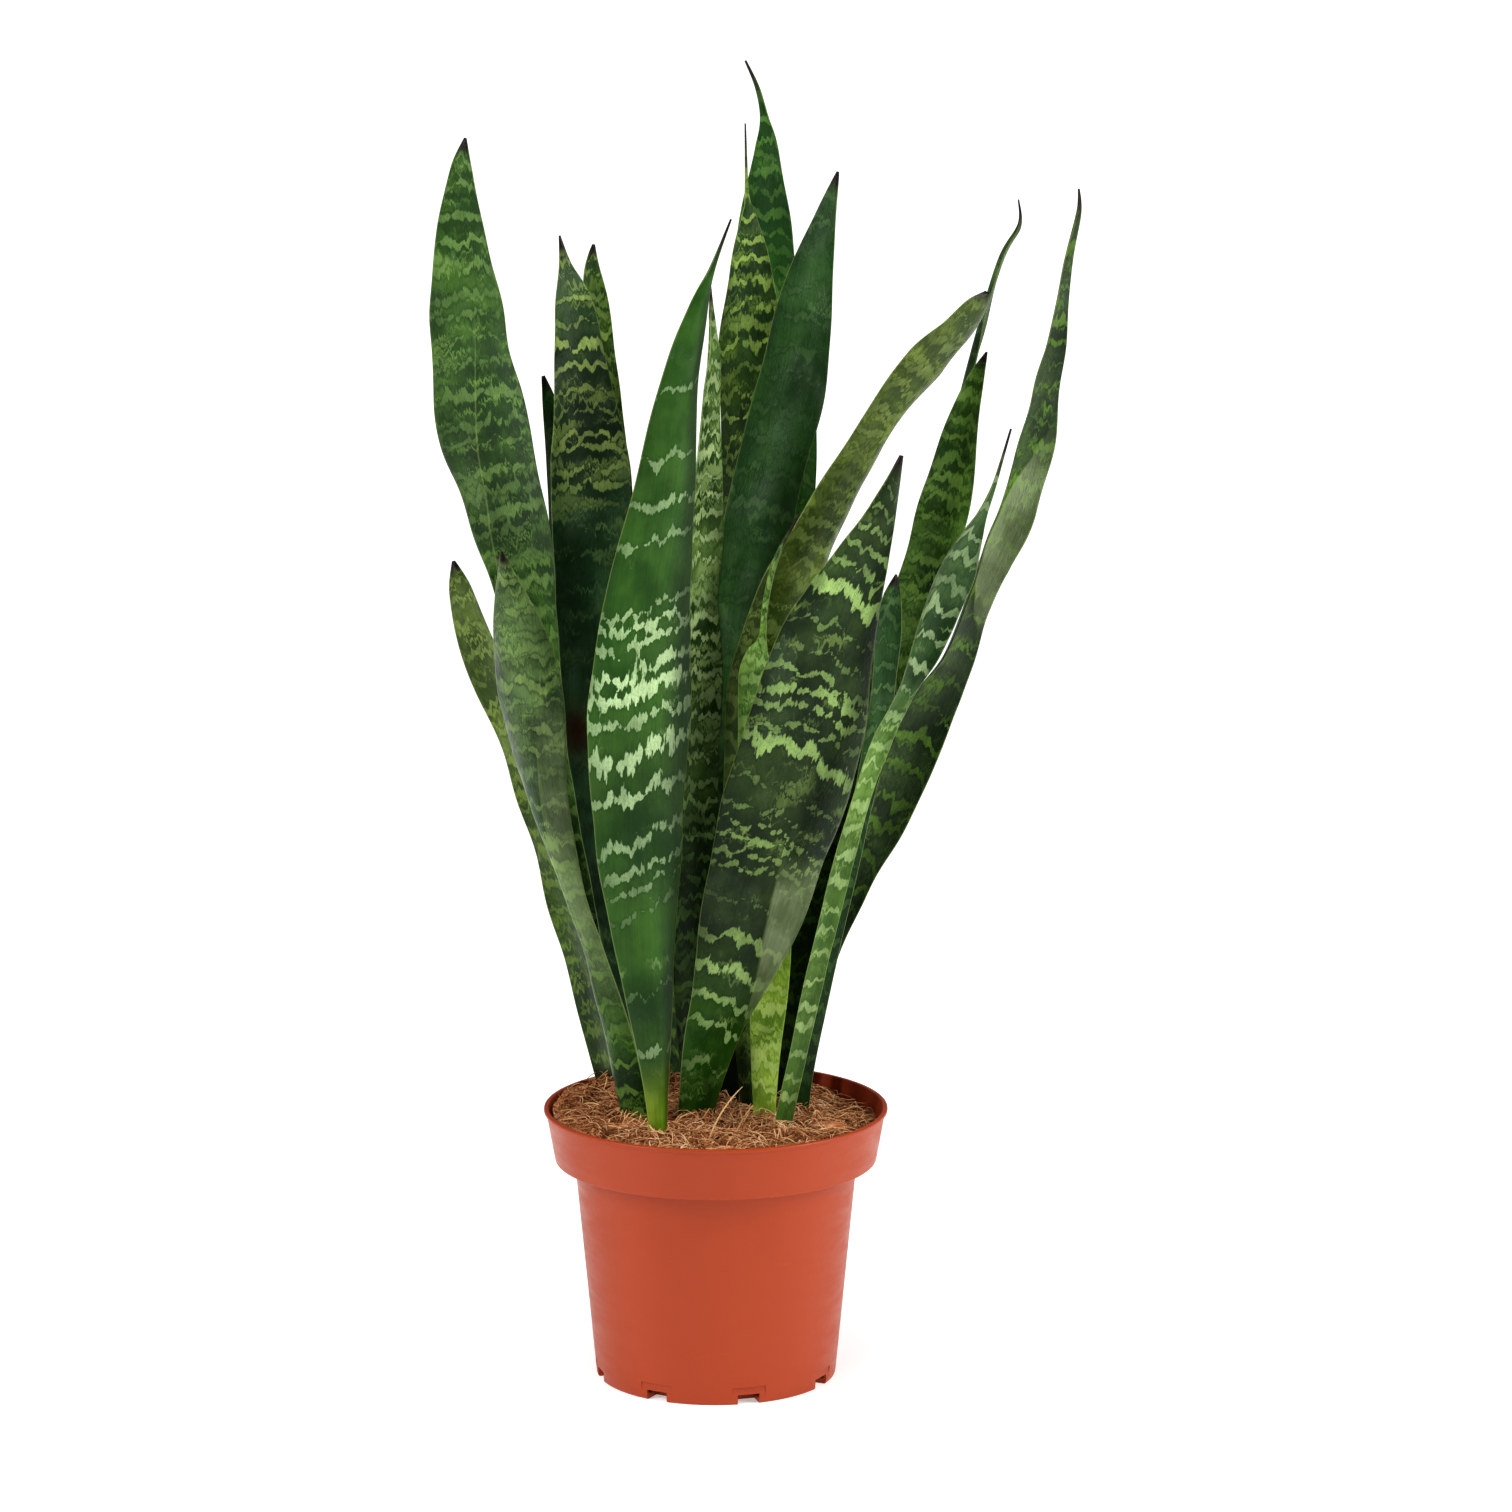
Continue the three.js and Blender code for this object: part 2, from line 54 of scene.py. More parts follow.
POT_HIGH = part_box("pot")[1]
POT_HEIGHT = POT_HIGH.z
RIM_RADIUS = POT_HIGH.x
COLLAR_FOOT = POT_HEIGHT - 26.5 * MM
COLLAR_FOOT_RADIUS = 79.5 * MM
BODY_TOP_RADIUS = 70 * MM
BASE_RADIUS = 59.5 * MM
WALL = 1.6 * MM
FLOOR = 2.6 * MM
RECESS = 2 * MM
LIP = 1.8 * MM
LIP_OVERHANG = 0.8 * MM
NOTCH_COUNT = 8
NOTCH_FIRST = math.radians(15.6 - 90)
NOTCH_WIDTH = 11 * MM
NOTCH_HEIGHT = 5 * MM
NOTCH_INNER_RADIUS = 50 * MM

SOIL_LEVEL = 131 * MM
SOIL_FALL = 0.05
SOIL_TWIST = 0.4
SOIL_RADIUS = 80.6 * MM

# The height of every leaf's foot, in millimetres, just above the stem.
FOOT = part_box("rhizome")[1].z / MM + 0.4
LEAF_FOOT_THICKNESS = 5 * MM
LEAF_TOP_THICKNESS = 2.6 * MM
LEAF_ROUNDNESS = 0.75
LEAF_FOOT_CURL = 0.6
SECTION_CENTRE = 0.4


# ---------------- leaves: the design's own stations


class Leaf(NamedTuple):
    """A leaf's channelling, its look, its cross bands and its stations from foot to tip.

    bands is either (closest, widest, strength), with the gaps between bands in millimetres, or a
    list of bands given one by one, each (height, thickness, strength). A station is
    (x, y, z, width, turn) in millimetres and degrees, as the CAD model has it.
    """

    curl: float
    look: str
    bands: object
    stations: list


class Fold(NamedTuple):
    """A crease along a leaf, beyond which its margin bends towards the front (or away, below 0).

    side is 1 where the right margin bends and -1 where the left one does. facet_sheen is how strongly
    a painted sheen lightens the bent part. line is (height in mm, place across from -1 to 1, bend)
    from the bottom up.
    """

    side: int
    facet_sheen: float
    line: list


FRONT_TALL_BANDS = [
    (178, 2.2, 0.5), (208, 1.6, 0.2), (250, 1.5, 0.2), (262, 1.6, 0.35), (271, 2.0, 0.5),
    (286, 2.6, 0.55), (309, 3.0, 0.85), (329, 4.4, 1.15), (346, 2.4, 0.7), (360, 3.6, 1.0),
    (370, 3.4, 0.95), (384, 2.0, 0.75), (392, 2.0, 0.75), (400, 1.6, 0.5), (433, 1.8, 0.4),
    (450, 2.2, 0.5), (472, 1.8, 0.4), (505, 1.6, 0.3),
]
FRONT_BROAD_BANDS = [
    (162, 1.8, 0.4), (183, 2.2, 0.7), (196, 2.2, 0.75), (211, 3.2, 1.1), (228, 2.8, 0.9), (245, 1.2, 0.3),
    (261, 1.4, 0.55), (268, 1.4, 0.6), (275, 1.5, 0.7), (282, 1.4, 0.6), (290, 1.2, 0.4),
    (304, 1.3, 0.35), (324, 3.8, 1.15), (335, 1.5, 0.5), (345, 1.9, 0.75), (353, 2.3, 0.9),
    (361, 1.8, 0.7), (372, 1.3, 0.4), (386, 1.4, 0.4), (403, 3.8, 1.1), (415, 1.7, 0.6), (425, 1.8, 0.7),
    (434, 1.8, 0.65), (443, 1.5, 0.5), (453, 1.4, 0.4),
]
LEFT_DARK_BANDS = [
    (250, 1.4, 0.3), (300, 1.4, 0.3), (352, 1.3, 0.3), (404, 1.2, 0.3), (428, 1.3, 0.35),
    (438, 1.9, 0.65), (446, 1.5, 0.6), (457, 1.6, 0.6), (463, 1.6, 0.65), (475, 1.2, 0.4),
    (485, 1.4, 0.5), (497, 1.8, 0.8), (507, 2.6, 1.1), (518, 1.4, 0.5), (530, 1.3, 0.5),
]
# Each fold's second number is how strongly a painted sheen lightens the bent part.
FOLDS = {
    "leaf_left_tall": Fold(-1, 0.0, [
        (372, -0.95, 0), (400, -0.75, -0.6), (440, -0.5, -0.9), (480, -0.25, -0.6), (530, 0.1, 0),
    ]),
    "leaf_front_broad": Fold(1, 0.6, [
        (180, 0.98, 0), (204, 0.58, 0.6), (228, 0.31, 0.9), (250, 0.2, 0.6), (274, 0.15, 0),
    ]),
    "leaf_right_tallest": Fold(1, 0.55, [
        (362, 0.9, 0), (378, 0.1, 0.5), (398, -0.85, 0.7), (425, -0.8, 0.6), (448, 0.2, 0.3), (470, 0.9, 0),
    ]),
    "leaf_left_folded": Fold(1, 0.4, [(180, 0.2, 0), (230, 0.1, -0.5), (300, 0.25, -0.4), (350, 0.4, 0)]),
}


LEAVES = {
    "leaf_left_tall": Leaf(0.16, "mottled", (9, 15, 0.5), [
        (-34, 42, FOOT, 14, -30), (-36, 44, 140, 15, -30), (-54, 48, 205, 22, -32),
        (-73, 54, 284, 29, -34), (-87.7, 60, 370, 37.4, -34), (-99.4, 64, 420, 49.1, -34),
        (-110.2, 67, 460, 57.7, -34), (-119.1, 71, 512, 47.6, -34), (-123.6, 75, 562, 29.2, -32),
        (-124.1, 77, 591, 12.8, -30), (-122.5, 78, 607, 1.3, -30),
    ]),
    "leaf_left_outer": Leaf(0.14, "olive", (10, 15, 0.6), [
        (-45.4, 38, FOOT, 13.5, -50), (-54.4, 43, 143, 16.8, -50), (-71.2, 47, 210, 21, -52),
        (-88.8, 51, 271, 18.5, -52), (-103.7, 55, 320, 23.2, -50), (-116.5, 58, 356, 27.1, -42),
        (-125.2, 60, 383, 15.6, -36), (-129.7, 61, 399, 1.7, -30),
    ]),
    "leaf_left_dark": Leaf(0.12, "dusky", LEFT_DARK_BANDS, [
        (-39, 28, FOOT, 11, 20), (-41, 30, 140, 12, 20), (-46, 32, 190, 16, 22),
        (-55, 35, 254, 22, 24), (-61, 41, 319, 32, 26), (-61, 46, 383, 42, 27),
        (-62.4, 51, 438, 44.2, 26), (-65.7, 54, 487, 31, 26), (-70, 56, 527, 20.8, 26),
        (-73.5, 57, 547, 6.9, 26), (-76, 58, 561, 1, 26),
    ]),
    "leaf_left_folded": Leaf(-0.2, "slate_lime", (10, 16, 0.7), [
        (-39, -20, FOOT, 16, -42), (-41, -21, 135, 20, -44), (-49, -24, 175, 20, -50),
        (-61, -27, 223, 19, -60), (-72, -30, 256, 22, -66), (-83, -34, 293, 30, -50),
        (-90, -38, 340, 37, -32), (-94, -41, 372, 31, -20), (-98, -43, 398, 17, -16),
        (-102, -45, 421, 1, -14),
    ]),
    "leaf_back_left_bright": Leaf(0.14, "lime", (8, 12, 0.8), [
        (-16, 50, FOOT, 9, 40), (-19, 55, 140, 11, 42), (-28, 62, 214, 16, 44),
        (-40, 69, 299, 24, 46), (-49, 75, 378, 31, 47), (-55.9, 79, 452, 29.4, 48),
        (-58.5, 81, 506, 21.4, 48), (-61.4, 82, 537, 14, 48), (-59.8, 82, 554, 1.7, 48),
    ]),
    "leaf_back_left_small": Leaf(0.14, "fresh", (9, 16, 0.4), [
        (-33, 52, FOOT, 8, 34), (-40, 60, 140, 10, 36), (-52, 68, 214, 15, 38),
        (-64.6, 77, 298, 19, 40), (-74.1, 85, 377, 19.8, 42), (-77.9, 90, 436, 19.2, 42),
        (-82.2, 93, 470, 10.8, 42), (-85.6, 94, 487, 2, 42),
    ]),
    "leaf_front_tall": Leaf(-0.1, "bright", FRONT_TALL_BANDS, [
        (-26.8, -46, FOOT, 8.5, 16), (-27.8, -49, 136, 9.5, 16), (-29.8, -53, 180, 17.5, 18),
        (-33.8, -59, 241, 34.5, 20), (-35.8, -65, 302, 47.5, 21), (-34.8, -69, 345, 52.5, 21),
        (-30.8, -74, 404, 43.5, 21), (-23.4, -78, 452, 31.9, 21), (-17.2, -81, 501, 20.9, 20),
        (-7.9, -83, 541, 10.4, 20), (-1, -84, 561, 3.2, 20), (7.7, -85, 584, 1, 20),
    ]),
    "leaf_centre_edgeways": Leaf(0.14, "pale", (8, 12, 0.9), [
        (-11, 5, FOOT, 12, 40), (-11, 5, 140, 15, 36), (-12, 4, 200, 25, 30), (-12, 3, 270, 28, 32),
        (-10.5, 2, 330, 30, 42), (-8, 1, 388, 30, 56), (-6.2, 1, 430, 29, 59), (-3.6, 0, 470, 22, 61),
        (-1.4, 0, 500, 14, 62), (-1.1, 0, 515, 8, 62), (-1.6, 0, 532, 3, 62), (-2.2, 0, 545, 1, 62),
    ]),
    "leaf_back_tallest": Leaf(0.12, "fresh", (6, 11, 0.6), [
        (8, 50, FOOT, 12, -26), (9, 53, 140, 14, -27), (14, 60, 224, 24, -29),
        (20, 67, 309, 35, -31), (25, 73, 383, 45, -32), (30.3, 77, 452, 54.2, -32),
        (27.5, 81, 517, 43.6, -32), (25.9, 84, 571, 27.5, -32), (26.4, 86, 601, 13.4, -32),
        (24.8, 87, 616, 5.3, -32), (21.1, 88, 631, 2.8, -32), (15.3, 88, 644, 1.2, -32),
    ]),
    "leaf_centre_lime": Leaf(0.1, "lime", (8, 13, 1.0), [
        (-2, 31, FOOT, 12, 22), (-1, 31, 140, 14, 24), (3, 37, 215, 19, 28), (7, 43, 300, 26, 31),
        (13, 48, 383, 33, 33), (17, 51, 448, 37, 34), (16.4, 53, 507, 37.5, 34),
        (16.4, 54, 545, 25.6, 34), (16.7, 55, 571, 8.7, 34), (15.8, 55, 582, 2.7, 34),
        (15, 56, 616, 0.8, 34),
    ]),
    "leaf_centre_dark": Leaf(0.12, "deep", (12, 20, 0.25), [
        (4.2, 15, FOOT, 13.4, -20), (5.2, 15, 140, 15.4, -22), (4.2, 17, 215, 19.4, -26),
        (8.2, 20, 300, 27.5, -30), (14.2, 23, 369, 34.5, -32), (24.2, 26, 431, 39.5, -33),
        (38.1, 28, 487, 39.2, -33), (46.7, 29, 538, 28.7, -33), (54, 29, 572, 13.3, -33),
        (59.8, 29, 595, 1.4, -33),
    ]),
    "leaf_right_arching": Leaf(-0.12, "olive", (8, 13, 0.45), [
        (17, 2, FOOT, 11, -16), (17, 2, 140, 12, -16), (14, 2, 210, 17, -10), (16, 2, 285, 24, 0),
        (21, 2, 345, 29, 10), (36.5, 3, 392, 33, 26), (56, 6, 431, 31.2, 44), (81.1, 10, 474, 34.4, 52),
        (104.5, 13, 503, 44.5, 54), (119.5, 15, 519, 35.5, 54), (128, 16, 531, 22.5, 54),
        (132, 16.5, 538, 3.2, 54),
    ]),
    "leaf_back_right_slender": Leaf(0.16, "slate", (9, 16, 0.3), [
        (33, 51, FOOT, 8, 40), (43, 61, 140, 9, 40), (58, 68, 214, 12, 50), (79, 76, 289, 15, 64),
        (100, 84, 372, 17, 76), (117, 91, 446, 16, 80), (131.5, 96, 505, 13, 80), (142.7, 99, 544, 8, 80),
        (151.8, 101, 561, 3, 80), (151.2, 102, 574, 1, 80),
    ]),
    "leaf_right_upright": Leaf(0.14, "reticulate", (8, 12, 0.6), [
        (33, 24, FOOT, 12.2, -24), (34.5, 24, 140, 15.3, -26), (48, 28, 205, 22.9, -30),
        (63.5, 32, 270, 28, -34), (85, 35, 339, 28, -36), (103.9, 37, 391, 30.7, -38),
        (114.4, 38, 430, 30.4, -38), (121, 38, 464, 21.5, -38), (127.5, 38, 490, 11.3, -38),
        (133, 38, 506, 1, -38),
    ]),
    "leaf_front_right_curved": Leaf(0.22, "stalk", (9, 15, 0.7), [
        (31, -30, FOOT, 9, 16), (33, -31, 138, 9, 16), (41, -36, 178, 9.5, 18),
        (50, -41, 222, 10.5, 20), (60, -45, 265, 10.5, 22), (70.5, -47, 304, 10.5, 25),
        (79, -48, 329, 11, 28), (87, -48.5, 345, 11, 32), (93, -49, 358, 12.5, 36),
        (98.5, -49, 373, 19, 40), (104.5, -49, 390, 25.5, 42), (111.5, -48.5, 407, 28, 42),
        (117, -48, 420, 23, 42), (122.5, -48, 431, 14, 40), (127.4, -47.5, 440, 6.3, 38),
        (132.9, -47, 453, 2.5, 36), (140.8, -46, 480, 1.1, 30),
    ]),
    "leaf_right_small": Leaf(0.14, "deep", (8, 13, 0.5), [
        (42, 4, FOOT, 7, 20), (43, 4, 143, 8, 20), (56, 7, 215, 11, 22), (72, 10, 288, 12, 24),
        (80, 11.5, 328, 13, 24), (83.3, 12.5, 362, 14.4, 24), (84.8, 13, 379, 12.8, 23),
        (86.2, 13, 389, 9.6, 22), (87.3, 13, 394.5, 6, 22), (88.4, 13, 400, 1, 20),
    ]),
    "leaf_front_broad": Leaf(-0.08, "contrast", FRONT_BROAD_BANDS, [
        (-10, -13, FOOT, 17, 12), (-9, -14, 136, 19, 12), (-2, -20, 174, 27, 13),
        (9, -27, 208, 41, 15), (20, -34, 246, 53, 17), (31, -40, 285, 63, 18), (42.6, -47, 327, 62.4, 18),
        (54.5, -54, 379, 50.2, 18), (69.5, -59, 418, 29.2, 18), (80.8, -63, 446, 13.5, 18),
        (88.2, -66, 470, 2.2, 18),
    ]),
    "leaf_front_rolled": Leaf(0.1, "yellow", (7, 11, 0.7), [
        (25, -17, FOOT, 10, -18), (24, -17, 134, 11, -18), (25, -14, 168, 16, -20),
        (27, -10, 210, 22, -22), (25, -7, 262, 26, -22), (22, -6, 312, 22, -22), (20.3, -6, 343, 19, -22),
        (20.2, -6, 355, 17.5, -22), (21, -6, 363.5, 12.5, -22), (22.4, -6.5, 369, 6.5, -22),
        (23.3, -7, 375, 3.6, -22), (24.6, -8, 390, 3.2, -22), (30, -9, 412, 2.8, -22),
        (41, -10, 434, 1, -22),
    ]),
    "leaf_right_tallest": Leaf(0.16, "spotted", (10, 18, 0.5), [
        (40.5, 41, FOOT, 10, 10), (42.5, 46, 140, 10, 10), (47, 48, 172, 11.9, 12),
        (53.2, 51, 199, 14.9, 14), (66, 54, 236, 22, 16), (83, 57, 274, 30, 18), (97, 60, 308, 33, 20),
        (110, 62, 333, 31, 36), (119.2, 63.5, 350, 28.5, 53), (127.1, 65, 372, 29.1, 60),
        (136.6, 67, 398, 27.5, 53), (148.6, 69, 426, 28.9, 49), (156.9, 71, 455, 28.6, 46),
        (165, 73, 491, 18.4, 46), (170.4, 74, 520, 10.9, 46), (174.8, 74.5, 548, 6.2, 46),
        (179.5, 75, 570, 3.2, 46), (179.4, 75, 582, 1.1, 46),
    ]),
}


# ---------------- small helpers


def linear(red, green, blue):
    """A colour given as 0 to 255 screen values, as the shader's linear values."""
    def one(value):
        value /= 255
        return value / 12.92 if value <= 0.04045 else ((value + 0.055) / 1.055) ** 2.4

    return (one(red), one(green), one(blue), 1.0)


def grey(value):
    return (value, value, value, 1)


def placed(name, data):
    thing = bpy.data.objects.new(name, data)
    bpy.context.scene.collection.objects.link(thing)
    return thing


def mesh_object(name, vertices, faces, material, smooth=True):
    mesh = bpy.data.meshes.new(name)
    mesh.from_pydata([tuple(v) for v in vertices], [], faces)
    mesh.materials.append(material)
    mesh.polygons.foreach_set("use_smooth", [smooth] * len(mesh.polygons))
    mesh.update()
    return placed(name, mesh)


def ring(radius, height, angles):
    return [(radius * math.cos(a), radius * math.sin(a), height) for a in angles]


def ring_faces(start, rows, size):
    """The four-sided faces between rows of equal closed rings of vertices, numbered on from start."""
    faces = []
    for low in range(start, start + (rows - 1) * size, size):
        for i in range(size):
            k = (i + 1) % size
            faces.append((low + i, low + k, low + size + k, low + size + i))
    return faces


def tube_faces(start, rows, size):
    """The same faces with both ends closed."""
    top = start + (rows - 1) * size
    ends = [tuple(range(start + size - 1, start - 1, -1)), tuple(range(top, top + size))]
    return ring_faces(start, rows, size) + ends


def add_values(thing, name, values):
    """Stores one number, or three, for each vertex, for the material to read.

    values has a row for each ring and a column for each vertex in it.
    """
    values = np.asarray(values, np.float32)
    kind, key = ("FLOAT", "value") if values.ndim == 2 else ("FLOAT_VECTOR", "vector")
    thing.data.attributes.new(name, kind, "POINT").data.foreach_set(key, values.ravel())


def belongs(thing, slot, *nodes):
    """The piece rides on the one body and stands for CAD nodes, which it hides; slot is not used."""
    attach(thing, "root")
    if nodes:
        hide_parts(*nodes)


def ripple(x, seed, wavelength):
    """A smooth irregular wave of height about 1 along x."""
    draws = random.Random(seed)
    total = np.zeros_like(x)
    for _ in range(4):
        pitch = wavelength * draws.uniform(0.6, 1.7)
        total = total + np.sin(x * (2 * math.pi / pitch) + draws.uniform(0, 2 * math.pi))
    return total / 2


# Where the Mix node keeps its two colours and its colour result.
MIX_FIRST, MIX_SECOND, MIX_RESULT = 6, 7, 2


class Nodes:
    """Writes a material's nodes in short lines."""

    def __init__(self, name):
        self.material = bpy.data.materials.new(name)
        self.material.use_nodes = True
        self.tree = self.material.node_tree
        self.shader = self.tree.nodes["Principled BSDF"]

    def new(self, kind):
        return self.tree.nodes.new("ShaderNode" + kind)

    def put(self, socket, value):
        if isinstance(value, bpy.types.NodeSocket):
            self.tree.links.new(value, socket)
        else:
            socket.default_value = value

    def set(self, name, value):
        """Gives one of the shader's inputs a plain value or another node's output."""
        self.put(self.shader.inputs[name], value)

    def attribute(self, name, output="Fac"):
        node = self.new("Attribute")
        node.attribute_name = name
        return node.outputs[output]

    def place(self):
        return self.new("TexCoord").outputs["Object"]

    def scaled(self, vector, scale, shift):
        node = self.new("Mapping")
        self.put(node.inputs["Vector"], vector)
        node.inputs["Scale"].default_value = scale
        node.inputs["Location"].default_value = shift
        return node.outputs["Vector"]

    def shifted(self, vector, rise):
        """The vector with rise added along its second axis."""
        lift = self.new("CombineXYZ")
        self.put(lift.inputs["Y"], rise)
        node = self.new("VectorMath")
        node.operation = "ADD"
        self.put(node.inputs[0], vector)
        self.put(node.inputs[1], lift.outputs[0])
        return node.outputs[0]

    def noise(self, vector, scale, shift=(0, 0, 0), detail=2.0, roughness=0.5):
        """Noise over a vector that is first multiplied by scale and then moved by shift."""
        scaled = self.scaled(vector, scale, shift)
        node = self.new("TexNoise")
        self.put(node.inputs["Vector"], scaled)
        for name, number in (("Scale", 1), ("Detail", detail), ("Roughness", roughness)):
            node.inputs[name].default_value = number
        return node.outputs["Fac"]

    def math(self, operation, a, b=0.0):
        node = self.new("Math")
        node.operation = operation
        self.put(node.inputs[0], a)
        self.put(node.inputs[1], b)
        return node.outputs[0]

    def times(self, a, b):
        return self.math("MULTIPLY", a, b)

    def plus(self, a, b):
        return self.math("ADD", a, b)

    def swing(self, value, reach):
        """How far a noise value lies from a half, times reach."""
        return self.times(self.math("SUBTRACT", value, 0.5), reach)

    def ramp(self, value, low, high, start=0.0, end=1.0):
        """Smoothly from start, where value is low, to end, where it is high."""
        node = self.new("MapRange")
        node.interpolation_type = "SMOOTHSTEP"
        for name, number in (("From Min", low), ("From Max", high), ("To Min", start), ("To Max", end)):
            node.inputs[name].default_value = number
        self.put(node.inputs["Value"], value)
        return node.outputs["Result"]

    def mix(self, share, a, b, blend="MIX"):
        node = self.new("Mix")
        node.data_type = "RGBA"
        node.blend_type = blend
        self.put(node.inputs["Factor"], share)
        self.put(node.inputs[MIX_FIRST], a)
        self.put(node.inputs[MIX_SECOND], b)
        return node.outputs[MIX_RESULT]

    def bump(self, height, distance, strength=1.0):
        node = self.new("Bump")
        node.inputs["Distance"].default_value = distance
        node.inputs["Strength"].default_value = strength
        self.put(node.inputs["Height"], height)
        self.set("Normal", node.outputs["Normal"])


# ---------------- leaf materials


class Look(NamedTuple):
    """The colours of one kind of leaf, as screen values, and how strongly it is marked.

    dark and light are the ground, and band is the cross markings. The low ones hold near the foot
    and give way to the others between the two heights in change, in millimetres; in some kinds the
    low ones are darkened as painted shade deep among the leaves, and in dusky they are lightened as
    a painted teal sheen. mottle is how densely small zigzag marks cover the ground, flame how long
    the jags of the bands are, and bloom how much grey, waxen bloom lies on the leaf. shade is how
    much painted shade darkens the leaf towards its right margin.
    """

    dark: tuple
    light: tuple
    band: tuple
    low_dark: tuple
    low_light: tuple
    low_band: tuple
    change: tuple
    mottle: float
    flame: float
    bloom: float
    shade: float = 0.0


GREY_BLOOM = linear(108, 130, 98)
# Painted sheen on the bent part of a folded leaf.
PAINTED_SHEEN = linear(136, 150, 108)
WAX_FLECK = linear(176, 190, 160)
# Darker and paler patches within that painted sheen.
SHEEN_IN_DIPS = linear(64, 84, 44)
SHEEN_ON_RISES = linear(144, 158, 118)
SPINE_BROWN = linear(26, 20, 14)
SCAR_BROWN = linear(52, 22, 6)
# Painted highlight along the leaves' hard margins and creases.
EDGE_HIGHLIGHT = linear(146, 160, 96)
LEAF_TINT = (1.0, 0.98, 0.86, 1)
LOOKS = {
    "bright": Look(
        (24, 60, 10), (54, 90, 32), (172, 198, 146), (96, 134, 28), (160, 184, 66), (176, 200, 100),
        (136, 176), 0.12, 1.8, 0.15, 0.85),
    "contrast": Look(
        (14, 34, 8), (44, 64, 28), (140, 168, 98), (22, 58, 6), (46, 84, 20), (142, 170, 108),
        (160, 240), 0.5, 1.2, 0.3),
    "mottled": Look(
        (26, 54, 16), (58, 90, 36), (122, 154, 84), (28, 62, 12), (58, 94, 28), (110, 140, 66),
        (140, 260), 1.0, 0.9, 0.2),
    # Its low colours are darkened as painted shade deep among the leaves near the foot.
    "reticulate": Look(
        (34, 64, 20), (92, 126, 58), (124, 158, 76), (10, 24, 6), (24, 48, 12), (60, 92, 28),
        (250, 370), 1.0, 0.8, 0.2),
    "lime": Look(
        (22, 50, 12), (64, 96, 32), (138, 166, 78), (22, 54, 10), (60, 98, 26), (110, 142, 56),
        (140, 260), 1.0, 1.2, 0.2),
    # Its low colours are darkened as painted shade deep among the leaves near the foot.
    "pale": Look(
        (36, 66, 24), (98, 128, 70), (172, 194, 134), (14, 34, 8), (36, 62, 20), (80, 112, 50),
        (240, 350), 1.0, 1.2, 0.3),
    "fresh": Look(
        (16, 58, 6), (42, 92, 20), (92, 132, 56), (14, 44, 8), (36, 76, 18), (80, 112, 42),
        (140, 260), 0.6, 0.8, 0.1),
    # Its low colours are darkened as painted shade deep among the leaves near the foot.
    "deep": Look(
        (16, 46, 12), (40, 74, 32), (84, 114, 66), (8, 30, 6), (26, 58, 18), (64, 96, 42),
        (150, 330), 0.35, 0.9, 0.3, 0.3),
    "slate": Look(
        (22, 44, 20), (54, 78, 44), (96, 122, 62), (12, 30, 8), (36, 60, 22), (84, 112, 52),
        (150, 260), 0.6, 0.8, 0.45),
    # Its low colours are lighter and bluer: a painted teal sheen on the lower blade.
    "dusky": Look(
        (22, 42, 22), (52, 76, 46), (156, 178, 98), (24, 50, 28), (58, 90, 64), (90, 118, 66),
        (390, 470), 0.7, 0.8, 0.5),
    "slate_lime": Look(
        (28, 50, 24), (88, 114, 68), (130, 156, 88), (16, 44, 8), (52, 88, 24), (112, 148, 64),
        (200, 300), 0.9, 0.9, 0.6),
    # Its low colours are darkened as painted shade deep among the leaves near the foot.
    "spotted": Look(
        (20, 38, 14), (56, 78, 40), (104, 142, 46), (8, 20, 4), (22, 42, 10), (84, 124, 34),
        (180, 300), 0.8, 1.0, 0.4),
    # Its low colours are darkened as painted shade deep among the leaves near the foot.
    "olive": Look(
        (46, 64, 20), (96, 114, 50), (128, 146, 78), (24, 46, 10), (58, 84, 28), (108, 132, 54),
        (200, 400), 1.0, 0.9, 0.3),
    "stalk": Look(
        (22, 46, 18), (54, 82, 42), (148, 170, 122), (66, 100, 42), (104, 136, 66), (166, 192, 124),
        (300, 365), 0.6, 0.7, 0.3),
    "yellow": Look(
        (30, 60, 16), (92, 130, 56), (150, 180, 104), (86, 120, 32), (138, 168, 64), (180, 202, 116),
        (205, 300), 1.0, 1.2, 0.15),
}


